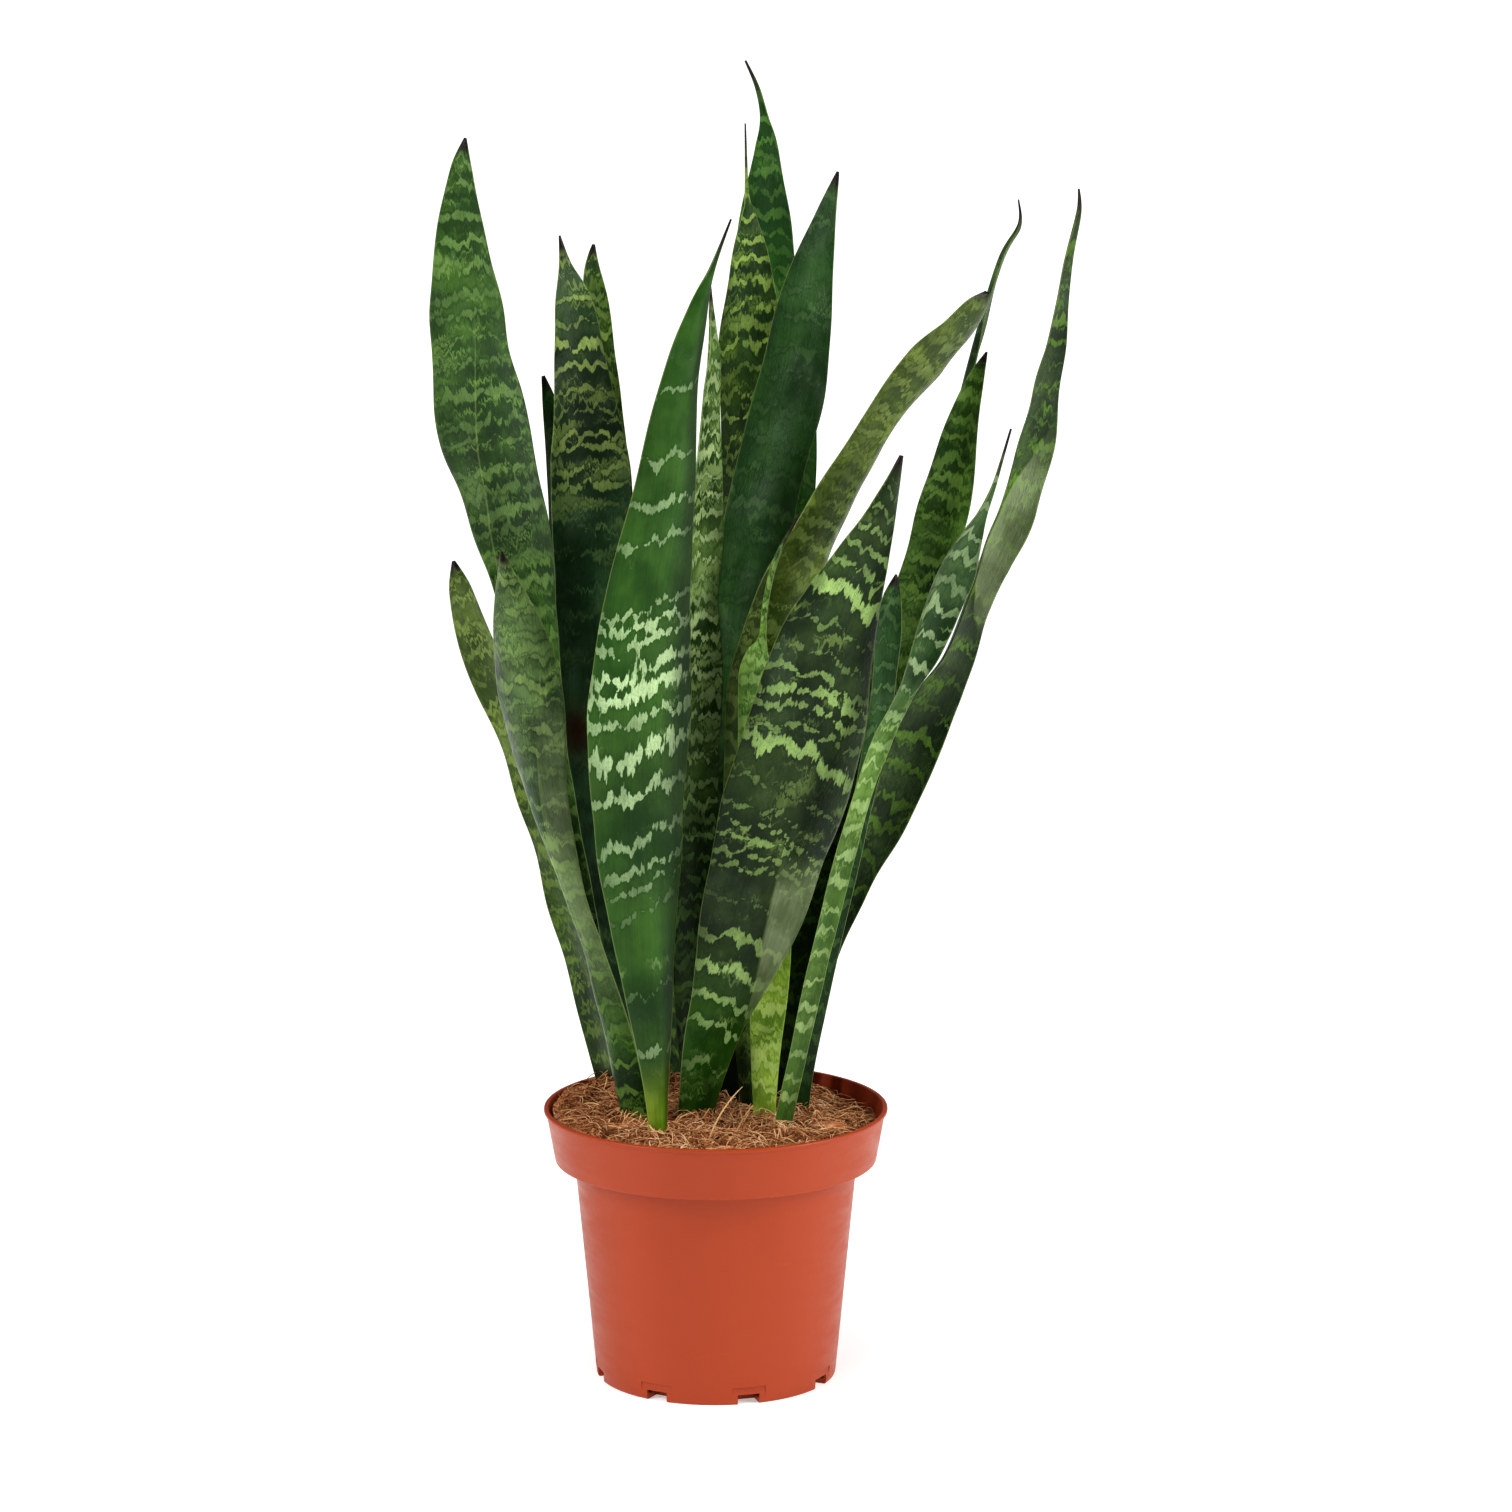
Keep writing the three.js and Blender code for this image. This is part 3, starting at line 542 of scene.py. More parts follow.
def leaf_material(name, look, facet_sheen):
    """Waxen leaf skin: long fine grain, zigzag mottling, jagged pale bands, a hard margin and spine.

    Painted highlight lies along the margin and creases, painted sheen on bent parts, and painted
    shade towards the right margin and, in some kinds, near the foot.
    """
    n = Nodes(name)
    blade = n.attribute("blade", "Vector")
    level, fade, margin, tip, foot, crease, bend, share = (
        n.attribute(value)
        for value in ("band_level", "band_fade", "margin", "tip", "foot", "crease", "bend", "share")
    )
    colours = [linear(*colour) for colour in look[:6]]

    jag = n.noise(blade, (430, 85, 1), detail=2, roughness=0.6)
    scallop = n.noise(blade, (1000, 330, 1))
    grain = n.noise(blade, (1700, 20, 1), detail=3)
    clouds = n.noise(blade, (38, 24, 1), detail=4, roughness=0.55)
    flecks = n.noise(blade, (1500, 1100, 1))
    zigzag = n.plus(n.swing(jag, 0.015), n.swing(scallop, 0.005))
    warped = n.shifted(blade, zigzag)
    rows = n.noise(warped, (34, 210, 1), detail=3, roughness=0.6)
    patches = n.noise(warped, (60, 45, 1), (0, 0.31, 0), detail=3)

    # The low colours hold near the foot; in some kinds they are darkened as painted shade, and in dusky they
    # are lightened as a painted sheen.
    upper = n.ramp(foot, look.change[0] * MM, look.change[1] * MM)
    dark = n.mix(upper, colours[3], colours[0])
    light = n.mix(upper, colours[4], colours[1])
    band = n.mix(upper, colours[5], colours[2])
    ground = n.mix(n.ramp(clouds, 0.34, 0.68), dark, light)

    more = 0.3 * look.mottle
    marks = n.times(n.ramp(rows, 0.53, 0.6), n.ramp(patches, 0.62 - more, 0.78 - more, 0, 0.75))
    ground = n.mix(marks, ground, n.mix(0.45, light, band))
    gaps = n.times(n.ramp(rows, 0.46, 0.4), 0.5 * look.mottle)
    ground = n.mix(gaps, ground, n.mix(0.55, dark, (0, 0.003, 0, 1)))
    ground = n.mix(1.0, ground, LEAF_TINT, "MULTIPLY")

    edge = n.plus(n.swing(jag, 2.6 * look.flame), n.swing(scallop, 1.0))
    jagged = n.plus(level, edge)
    outline = n.times(n.ramp(jagged, -0.7, -0.15), 0.45)
    ground = n.mix(outline, ground, dark)
    inside = n.times(n.ramp(jagged, 0.0, 0.4), fade)
    inside = n.times(inside, n.ramp(flecks, 0.36, 0.5, 0.72, 1.0))
    inside = n.times(inside, n.ramp(patches, 0.3, 0.55, 0.6, 1.0))
    inside = n.times(inside, n.ramp(n.math("ABSOLUTE", share), 0.6, 1.0, 1.0, 0.55))
    colour = n.mix(inside, ground, band)

    tone = n.noise(blade, (26, 10, 1), (0.9, 0.4, 0), detail=3)
    colour = n.mix(0.6, colour, n.mix(n.ramp(tone, 0.3, 0.72), grey(0.6), grey(1.5)), "MULTIPLY")
    dusty = n.ramp(n.noise(blade, (48, 30, 1), (0.3, 0.7, 0), detail=5, roughness=0.65), 0.5, 0.74)
    wax_share = n.times(n.ramp(upper, 0, 1, 0.35, 1.0), 0.5 * look.bloom)
    colour = n.mix(n.times(dusty, wax_share), colour, GREY_BLOOM)
    white = n.times(n.ramp(flecks, 0.7, 0.76), n.ramp(dusty, 0.0, 0.6, 0.15, 0.8))
    colour = n.mix(n.times(white, 0.3 + 0.5 * look.bloom), colour, WAX_FLECK)
    # Painted sheen: beyond a crease the bent part is lightened, standing in for light glancing off it.
    wing_sheen = n.times(n.ramp(crease, 0.0, 0.8 * MM), n.times(bend, facet_sheen))
    sheen_colour = n.mix(0.65, PAINTED_SHEEN, n.mix(n.ramp(patches, 0.3, 0.65), SHEEN_IN_DIPS, SHEEN_ON_RISES))
    colour = n.mix(wing_sheen, colour, sheen_colour)
    # Painted highlight: a thin pale line along the crease.
    crease_highlight = n.ramp(n.math("ABSOLUTE", crease), 0.7 * MM, 0.1 * MM)
    crease_highlight = n.times(crease_highlight, n.times(bend, 0.22))
    colour = n.mix(crease_highlight, colour, EDGE_HIGHLIGHT)
    streaked = n.mix(n.ramp(grain, 0.3, 0.7), grey(0.8), grey(1.08))
    colour = n.mix(0.6, colour, streaked, "MULTIPLY")
    # Painted shade: the leaf darkens towards its right margin, as much as the look's shade.
    colour = n.mix(n.ramp(share, 0.25, 0.85, 0, look.shade), colour, n.mix(0.75, colour, (0, 0.004, 0, 1)))
    colour = n.mix(n.attribute("scar"), colour, SCAR_BROWN)
    # The hard margin drawn pale, a painted highlight.
    colour = n.mix(n.ramp(margin, -0.5 * MM, -0.1 * MM, 0, 0.38), colour, EDGE_HIGHLIGHT)
    colour = n.mix(tip, colour, SPINE_BROWN)
    n.set("Base Color", colour)

    rough = n.plus(n.ramp(rows, 0.35, 0.7, 0.3, 0.42), n.times(dusty, 0.16))
    n.set("Roughness", rough)
    n.set("Specular IOR Level", 0.15)
    height = n.plus(n.times(grain, 0.5), n.plus(n.times(rows, 0.8), scallop))
    n.bump(height, 0.22 * MM)
    return n.material


# ---------------- leaf blades

RING_SPACING = 1.4 * MM
SECTION_COUNT = 33
MARGIN_EDGE = 0.45 * MM
MARGIN_BEAD = 0.12 * MM
MARGIN_WAVE = 0.7 * MM
SURFACE_WAVE = 0.22 * MM
BAND_WAVE = 1.5 * MM
BEAD_PLACE = 0.965
BEAD_REACH = 0.02
LENS_POWER = 2.2
NARROWEST = 0.7 * MM
FULL_BLADE = 14 * MM
SPINE_LENGTH = 20 * MM
SPINE_WIDTH = 6 * MM
BROWN_TIP = 9 * MM
CREASE_ROUNDING = 0.04


def on_curve(stations, places):
    """The smooth curve through the stations, at places counted in spans from the foot."""
    rows = np.asarray(stations, float)
    last = len(rows) - 1
    i = np.minimum(places.astype(int), last - 1)
    t = (places - i)[:, None]
    a, b, c, d = (rows[np.clip(i + k, 0, last)] for k in (-1, 0, 1, 2))
    lead, tail, rise = (c - a) / 2, (d - b) / 2, c - b
    return b + t * (lead + t * (3 * rise - 2 * lead - tail + t * (lead + tail - 2 * rise)))


def even_places(stations):
    """Places along the curve that are RING_SPACING apart, from the foot to the tip."""
    fine = np.linspace(0, len(stations) - 1, 1500)
    centres = on_curve(stations, fine)[:, :3] * MM
    steps = np.linalg.norm(np.diff(centres, axis=0), axis=1)
    travelled = np.concatenate([[0], np.cumsum(steps)])
    count = int(travelled[-1] / RING_SPACING) + 1
    return np.interp(np.linspace(0, travelled[-1], count), travelled, fine), travelled[-1]


def unit(vectors):
    return vectors / np.linalg.norm(vectors, axis=1, keepdims=True)


def band_list(leaf, top, seed):
    """The leaf's bands as (height, thickness, strength), in metres."""
    if isinstance(leaf.bands, list):
        return [(height * MM, thick * MM, strength) for height, thick, strength in leaf.bands]
    closest, widest, strength = leaf.bands
    draws = random.Random(seed)
    found = []
    height = 150
    while height * MM < top:
        found.append((height * MM, draws.uniform(1.2, 3.0) * MM, strength * draws.uniform(0.5, 1.1)))
        height += draws.uniform(closest, widest)
    return found


# How a kind's bands rise and fall across the leaf: (places from -1 to 1, rises in millimetres).
LEVEL_BANDS = ((-1, -0.5, 0, 0.5, 1), (-1.5, 0, 0.8, 0, -1.5))
BAND_SHAPES = {
    "bright": ((-1, -0.5, 0, 0.3, 0.65, 1), (-8, -6, -1, 5, 4, 7)),
    "contrast": ((-1, -0.3, 0.05, 0.3, 0.6, 1), (1, 2.5, 2, -4, -9, -12)),
}


def band_levels(leaf, bands, heights, across, share, seed):
    """How deep each point lies in a pale cross band, in band thicknesses, and that band's strength."""
    level = np.full(across.shape, -3.0)
    fade = np.zeros(across.shape)
    draws = random.Random(seed)
    places, rises = BAND_SHAPES.get(leaf.look, LEVEL_BANDS)
    reach = np.abs(across).max(axis=1, keepdims=True)
    slope = np.interp(share, places, rises) * MM * reach / reach.max()
    for i, (height, thick, strength) in enumerate(bands):
        tilt = draws.uniform(-0.08, 0.08)
        wander = BAND_WAVE * (ripple(across, seed + i, 14 * MM) + 0.7 * ripple(across, seed + 99 + i, 5 * MM))
        swell = thick * (1 + 0.35 * ripple(across, seed + 199 + i, 18 * MM))
        bent = wander + tilt * across + slope
        here = 1 - np.abs(heights - height - bent) / swell
        fade = np.where(here > level, min(strength, 1), fade)
        level = np.maximum(level, here - max(0, 0.45 - strength))
    return level, fade


def section_profile():
    """(s, side) once round the section: s runs -1 to 1 on the faced side, then back on the other."""
    angles = np.linspace(-math.pi / 2, math.pi / 2, SECTION_COUNT)
    s = np.sin(angles) * 0.35 + angles / (math.pi / 2) * 0.65
    front = [(value, 1) for value in s]
    back = [(value, -1) for value in s[-2:0:-1]]
    return np.array(front + back)


def fold_of(name, heights, share):
    """How far each point lies beyond its leaf's crease, across the blade, and the bend there."""
    if name not in FOLDS:
        return np.full(share.shape, -1.0), np.zeros(share.shape)
    fold = FOLDS[name]
    line = np.asarray(fold.line, float)
    places = np.interp(heights, line[:, 0] * MM, line[:, 1])
    bends = np.interp(heights, line[:, 0] * MM, line[:, 2], left=0, right=0)
    return fold.side * (share - places), bends


def blade(name, leaf, seed, scar_at=None):
    """The whole leaf as one closed skin, with the values that its material reads."""
    places, length = even_places(leaf.stations)
    rows = on_curve(leaf.stations, places)
    centres = rows[:, :3] * MM
    widths = np.maximum(rows[:, 3] * MM, NARROWEST)
    share = places / (len(leaf.stations) - 1)
    along = unit(np.gradient(centres, axis=0))
    turn = np.radians(rows[:, 4])
    across = np.stack([np.cos(turn), np.sin(turn), np.zeros_like(turn)], axis=1)
    across = unit(across - along * (across * along).sum(1, keepdims=True))
    outward = np.cross(across, along)

    s, side = section_profile().T
    travelled = np.linspace(0, length, len(places))
    blade_share = np.clip(widths / FULL_BLADE, 0, 1)
    full = LEAF_FOOT_THICKNESS + (LEAF_TOP_THICKNESS - LEAF_FOOT_THICKNESS) * np.minimum(1, share * 2)
    half = np.minimum(full, widths * LEAF_ROUNDNESS) / 2
    curl = leaf.curl * widths * (1 + LEAF_FOOT_CURL * (1 - share) ** 2)
    edge = np.minimum(MARGIN_EDGE, half)

    lens = 1 - np.abs(s) ** LENS_POWER
    rounding = np.sqrt(np.clip(1 - s * s, 0, 1))
    thick = (half - edge)[:, None] * lens + edge[:, None] * rounding
    thick += (MARGIN_BEAD * blade_share)[:, None] * np.exp(-(((np.abs(s) - BEAD_PLACE) / BEAD_REACH) ** 2))
    right, left = (ripple(travelled, seed + i, 70 * MM)[:, None] for i in (0, 1))
    wave = np.where(s > 0, right, left)
    bow = curl[:, None] * (s * s - SECTION_CENTRE)
    bow = bow + (MARGIN_WAVE * blade_share)[:, None] * wave * np.abs(s) ** 3
    dents = ripple(travelled, seed + 2, 38 * MM)[:, None] * ripple(s, seed + 3, 1.3)
    bow += (SURFACE_WAVE * blade_share)[:, None] * dents
    reach = widths / 2 * (1 + 0.015 * blade_share * ripple(travelled, seed + 4, 55 * MM))
    sideways = reach[:, None] * s
    out = bow + side * thick

    points = centres[:, None] + across[:, None] * sideways[..., None] + outward[:, None] * out[..., None]
    share = np.broadcast_to(s, points.shape[:2])
    heights = np.broadcast_to(centres[:, 2:3], points.shape[:2])
    beyond, bends = fold_of(name, heights, share)
    past = np.maximum(beyond, 0)
    points[..., 1] -= bends * (np.sqrt(past ** 2 + CREASE_ROUNDING ** 2) - CREASE_ROUNDING) * reach[:, None]
    faces = tube_faces(0, len(places), len(s))
    facet_sheen = FOLDS[name].facet_sheen if name in FOLDS else 0
    skin = leaf_material(name + "_skin", LOOKS[leaf.look], facet_sheen)
    thing = mesh_object(name + "_blade", points.reshape(-1, 3), faces, skin)

    spread = np.broadcast_to(sideways, points.shape[:2])
    level, fade = band_levels(leaf, band_list(leaf, centres[-1, 2], seed), heights, spread, share, seed)
    to_tip = (length - travelled)[:, None] + 0 * spread
    slim = np.clip(1.25 - widths / SPINE_WIDTH, 0, 1)[:, None]
    spine = slim * np.clip(1.5 - to_tip / SPINE_LENGTH, 0, 1)
    tip = np.clip(spine + np.clip(1 - to_tip / BROWN_TIP, 0, 1), 0, 1)
    depth = np.broadcast_to(side, points.shape[:2])
    coordinates = np.stack([spread, travelled[:, None] + 0 * spread, seed + 0.4 * depth], axis=2)
    scar = np.zeros(points.shape[:2])
    if scar_at:
        height, reach_up, sway = scar_at
        scar = np.exp(-(((heights - height) / reach_up) ** 2) - ((spread - sway) / (9 * MM)) ** 2)
    material_reads = {
        "blade": coordinates,
        "band_level": level,
        "band_fade": fade,
        "margin": (np.abs(share) - 1) * np.maximum(reach, 1 * MM)[:, None],
        "crease": beyond * reach[:, None],
        "bend": np.clip(np.abs(bends) * 2, 0, 1),
        "share": share,
        "tip": tip,
        "foot": heights,
        "scar": scar,
    }
    for key, values in material_reads.items():
        add_values(thing, key, values)
    belongs(thing, "leaf_green", name)


SCARS = {"leaf_left_dark": (318 * MM, 12 * MM, -9 * MM)}
for number, (leaf_name, leaf) in enumerate(LEAVES.items()):
    blade(leaf_name, leaf, 10 * number + 3, SCARS.get(leaf_name))


# ---------------- pot

POT_SEGMENTS = 256
FILLET_STEPS = 4


def rounded(profile):
    """A profile of (radius, height, fillet) corners with each fillet drawn as a short arc."""
    points = []
    for i, (radius, height, fillet) in enumerate(profile):
        here = np.array([radius, height])
        if not fillet:
            points.append(here)
            continue
        before = np.array(profile[i - 1][:2]) - here
        after = np.array(profile[i + 1][:2]) - here
        start = here + before / np.linalg.norm(before) * fillet
        end = here + after / np.linalg.norm(after) * fillet
        for t in np.linspace(0, 1, FILLET_STEPS):
            points.append((1 - t) ** 2 * start + 2 * t * (1 - t) * here + t * t * end)
    return points


def lathe(name, profile, segments, material):
    """Turns a profile that starts and ends on the axis into a closed skin."""
    inner = profile[1:-1]
    angles = np.arange(segments) * (2 * math.pi / segments)
    vertices = [point for r, z in inner for point in ring(r, z, angles)]
    faces = ring_faces(0, len(inner), segments)
    vertices += [(0, 0, profile[0][1]), (0, 0, profile[-1][1])]
    first, last = len(vertices) - 2, len(vertices) - 1
    top = (len(inner) - 1) * segments
    for i in range(segments):
        k = (i + 1) % segments
        faces.append((first, k, i))
        faces.append((last, top + i, top + k))
    return mesh_object(name, vertices, faces, material)


def body_radius(height):
    return BASE_RADIUS + (BODY_TOP_RADIUS - BASE_RADIUS) * height / COLLAR_FOOT


def collar_radius(height):
    share = (height - COLLAR_FOOT) / (POT_HEIGHT - COLLAR_FOOT)
    return COLLAR_FOOT_RADIUS + (RIM_RADIUS - LIP_OVERHANG - COLLAR_FOOT_RADIUS) * share


def box_at(angle, inner, outer, width, low, high):
    """A closed box pointing out from the axis, for cutting."""
    cos, sin = math.cos(angle), math.sin(angle)
    corners = [(r, y, z) for r in (inner, outer) for y in (-width / 2, width / 2) for z in (low, high)]
    vertices = [(x * cos - y * sin, x * sin + y * cos, z) for x, y, z in corners]
    faces = [(0, 1, 3, 2), (4, 6, 7, 5), (0, 4, 5, 1), (2, 3, 7, 6), (0, 2, 6, 4), (1, 5, 7, 3)]
    return vertices, faces


def cut(thing, boxes):
    """Cuts closed boxes out of a piece."""
    vertices, faces = [], []
    for box_vertices, box_faces in boxes:
        start = len(vertices)
        vertices += box_vertices
        faces += [tuple(start + i for i in face) for face in box_faces]
    tool = mesh_object("cutter", vertices, faces, thing.data.materials[0], smooth=False)
    modifier = thing.modifiers.new("cut", "BOOLEAN")
    modifier.operation = "DIFFERENCE"
    modifier.solver = "EXACT"
    modifier.object = tool
    done = bpy.data.meshes.new_from_object(thing.evaluated_get(bpy.context.evaluated_depsgraph_get()))
    done.set_sharp_from_angle(angle=math.radians(35))
    thing.modifiers.clear()
    thing.data = done
    bpy.data.objects.remove(tool)


def pot_material():
    """Satin moulded polypropylene with a faint grain, scuffs and dust."""
    n = Nodes("pot_plastic")
    place = n.place()
    flow = n.noise(place, (9, 9, 4), detail=3)
    fine = n.noise(place, (420, 420, 420), detail=3)
    scuffs = n.noise(place, (40, 40, 160), detail=5, roughness=0.7)
    dust = n.noise(place, (55, 55, 35), detail=5, roughness=0.7)
    colour = n.mix(n.ramp(flow, 0.3, 0.7), linear(152, 57, 20), linear(161, 63, 25))
    colour = n.mix(n.ramp(scuffs, 0.62, 0.78, 0, 0.18), colour, linear(184, 92, 56))
    colour = n.mix(n.ramp(dust, 0.6, 0.8, 0, 0.12), colour, linear(104, 50, 28))
    n.set("Base Color", colour)
    n.set("Specular IOR Level", 0.3)
    n.set("Roughness", n.ramp(scuffs, 0.3, 0.75, 0.34, 0.5))
    n.bump(n.plus(n.times(fine, 0.5), n.times(flow, 0.7)), 0.12 * MM)
    return n.material


def pot():
    lip_foot = POT_HEIGHT - LIP
    ledge = COLLAR_FOOT + WALL
    inside_lip = RIM_RADIUS - LIP_OVERHANG - WALL
    profile = rounded([
        (0, 0, 0),
        (18 * MM, 0, 1 * MM),
        (21 * MM, RECESS, 1 * MM),
        (44 * MM, RECESS, 1 * MM),
        (47 * MM, 0, 1 * MM),
        (BASE_RADIUS, 0, 1.2 * MM),
        *[(body_radius(height * MM), height * MM, 0) for height in (10, 10.6, 30, 50, 70, 90)],
        (BODY_TOP_RADIUS, COLLAR_FOOT, 0.7 * MM),
        (COLLAR_FOOT_RADIUS, COLLAR_FOOT, 0.8 * MM),
        (collar_radius(lip_foot), lip_foot, 0.3 * MM),
        (RIM_RADIUS, lip_foot, 0.5 * MM),
        (RIM_RADIUS, POT_HEIGHT, 0.8 * MM),
        (inside_lip, POT_HEIGHT, 0.6 * MM),
        (collar_radius(ledge) - WALL, ledge, 0.8 * MM),
        (body_radius(ledge) - WALL, ledge, 0.8 * MM),
        (body_radius(FLOOR) - WALL, FLOOR, 1 * MM),
        (47 * MM, FLOOR, 1 * MM),
        (44 * MM, FLOOR + RECESS, 1 * MM),
        (21 * MM, FLOOR + RECESS, 1 * MM),
        (18 * MM, FLOOR, 1 * MM),
        (0, FLOOR, 0),
    ])
    shell = lathe("nursery_pot", profile, POT_SEGMENTS, pot_material())
    angles = [NOTCH_FIRST + i * 2 * math.pi / NOTCH_COUNT for i in range(NOTCH_COUNT)]
    beyond = BASE_RADIUS + 3 * MM
    mouth = (BASE_RADIUS - 0.2 * MM, beyond, NOTCH_WIDTH + 6 * MM, -1 * MM, NOTCH_HEIGHT + 4 * MM)
    for box in ((NOTCH_INNER_RADIUS, beyond, NOTCH_WIDTH, -NOTCH_HEIGHT, NOTCH_HEIGHT), mouth):
        cut(shell, [box_at(angle, *box) for angle in angles])
    belongs(shell, "pot_plastic", "pot")


pot()


# ---------------- potting mix

SOIL_RINGS = 110
SOIL_SEGMENTS = 260


def soil_base(x, y):
    """The mix's even height, as the CAD model has it."""
    return SOIL_LEVEL - SOIL_FALL * x - SOIL_TWIST * x * y


CROWN_MOUND = 4.2 * MM
CROWN_REACH = 10 * MM
CROWN_LEAD = 5 * MM


def crowns():
    """A place just in front of where each leaf leaves the mix, in metres."""
    places = []
    for leaf in LEAVES.values():
        low, high = leaf.stations[0], leaf.stations[1]
        t = (SOIL_LEVEL / MM - low[2]) / (high[2] - low[2])
        x, y = ((low[i] + t * (high[i] - low[i])) * MM for i in (0, 1))
        places.append((x, y - CROWN_LEAD))
    return places


CROWNS = crowns()


def soil_top(x, y):
    """The mix's real surface: clods, crumbs and dips over the even height, heaped about each leaf."""
    clods = noise.fractal(Vector((x * 55, y * 55, 4.2)), 0.9, 2.0, 3)
    crumbs = noise.fractal(Vector((x * 240, y * 240, 1.7)), 0.8, 2.1, 3)
    edge = max(0.0, math.hypot(x, y) / SOIL_RADIUS - 0.9) * 10
    heap = max(math.exp(-((x - cx) ** 2 + (y - cy) ** 2) / CROWN_REACH ** 2) for cx, cy in CROWNS)
    return soil_base(x, y) + (2.3 * clods * (1 - 0.5 * edge) + 0.9 * crumbs) * MM + CROWN_MOUND * heap


def coir_material(name, colours, stretch):
    """Shredded coir, from its dark, middle and pale colours as screen values."""
    n = Nodes(name)
    dark, middle, pale = (linear(*colour) for colour in colours)
    place = n.place()
    patches = n.noise(place, (70, 70, 70), detail=4)
    shreds = n.noise(place, stretch, detail=5, roughness=0.7)
    specks = n.noise(place, (1400, 1400, 1400))
    colour = n.mix(n.ramp(shreds, 0.36, 0.52), dark, middle)
    colour = n.mix(n.ramp(n.plus(shreds, n.times(patches, 0.4)), 0.72, 0.9), colour, pale)
    colour = n.mix(n.ramp(specks, 0.62, 0.75, 0, 0.5), colour, dark)
    n.set("Base Color", colour)
    n.set("Roughness", 0.95)
    n.set("Specular IOR Level", 0.15)
    n.bump(n.plus(shreds, n.times(specks, 0.3)), 1.2 * MM)
    return n.material


BED_COLOURS = ((72, 38, 20), (172, 116, 76), (236, 188, 146))


def potting_mix():
    """One closed body: the rough top, the side along the pot's wall and a flat bottom."""
    material = coir_material("coir_mix", BED_COLOURS, (420, 420, 420))
    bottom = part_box("potting_mix")[0].z
    ledge = COLLAR_FOOT + WALL + 0.4 * MM
    gap = WALL + 0.4 * MM
    angles = np.arange(SOIL_SEGMENTS) * (2 * math.pi / SOIL_SEGMENTS)
    rings = [(body_radius(bottom), bottom), (body_radius(ledge), ledge), (collar_radius(ledge), ledge)]
    vertices = [(0, 0, bottom)]
    for r, z in rings:
        vertices += ring(r - gap, z, angles)
    radii = [SOIL_RADIUS * (1 - i / SOIL_RINGS) for i in range(SOIL_RINGS)]
    for r in radii:
        vertices += [(x, y, soil_top(x, y)) for x, y, _ in ring(r, 0, angles)]
    vertices.append((0, 0, soil_top(0, 0)))
    faces = []
    for i in range(SOIL_SEGMENTS):
        k = (i + 1) % SOIL_SEGMENTS
        faces.append((0, 1 + k, 1 + i))
        for row in range(len(rings) + len(radii) - 1):
            low = 1 + row * SOIL_SEGMENTS
            faces.append((low + i, low + k, low + SOIL_SEGMENTS + k, low + SOIL_SEGMENTS + i))
        low = 1 + (len(rings) + len(radii) - 1) * SOIL_SEGMENTS
        faces.append((low + i, low + k, len(vertices) - 1))
    thing = mesh_object("coir_bed", vertices, faces, material)
    belongs(thing, "coir_mix", "potting_mix")


potting_mix()


def tubes(name, paths, radii, sides, material):
    """Many thin closed tubes in one mesh, each along its own row of points."""
    vertices, faces = [], []
    angles = np.arange(sides) * (2 * math.pi / sides)
    for path, radius in zip(paths, radii):
        path = np.asarray(path)
        start = len(vertices)
        along = unit(np.gradient(path, axis=0))
        helper = np.array([0.31, 0.17, 0.93]) if abs(along[0][2]) < 0.7 else np.array([0.93, 0.21, 0.3])
        first = unit(np.cross(along, helper))
        second = np.cross(along, first)
        taper = np.interp(np.linspace(0, 1, len(path)), [0, 0.15, 0.75, 1], [0.6, 1, 0.9, 0.35]) * radius
        for point, one, two, size in zip(path, first, second, taper):
            vertices += [tuple(point + size * (math.cos(a) * one + math.sin(a) * two)) for a in angles]
        faces += tube_faces(start, len(path), sides)
    return mesh_object(name, vertices, faces, material)


FIBRE_STEPS = 5


def anywhere_on_mix(draws):
    r = (SOIL_RADIUS - 3 * MM) * math.sqrt(draws.random())
    around = draws.uniform(0, 2 * math.pi)
    return r * math.cos(around), r * math.sin(around)


def loose_fibres(name, count, length, radius, lift, seed, material, near=()):
    """Coir fibres lying over the mix, or over the places in near, each bent a little."""
    draws = random.Random(seed)
    paths, radii = [], []
    while len(paths) < count:
        x, y = anywhere_on_mix(draws)
        if near:
            x, y = (value + draws.gauss(0, 6 * MM) for value in draws.choice(near))
        heading = draws.uniform(0, 2 * math.pi)
        bend = draws.gauss(0, 1.1)
        reach = draws.uniform(*length)
        rise = draws.uniform(*lift)
        tilt = draws.gauss(0, 0.12)
        start_height = draws.uniform(-0.4, 0.7) * MM
        path = []
        for i in range(FIBRE_STEPS + 1):
            t = i / FIBRE_STEPS
            if i:
                x += reach / FIBRE_STEPS * math.cos(heading + bend * t)
                y += reach / FIBRE_STEPS * math.sin(heading + bend * t)
            arch = rise * 4 * t * (1 - t) + tilt * reach * t
            path.append((x, y, soil_top(x, y) + start_height + max(arch, -0.5 * MM)))
        if max(math.hypot(px, py) for px, py, _ in path) < SOIL_RADIUS + 0.5 * MM:
            paths.append(path)
            radii.append(draws.uniform(*radius))
    thing = tubes(name, paths, radii, 3, material)
    belongs(thing, "coir_mix")


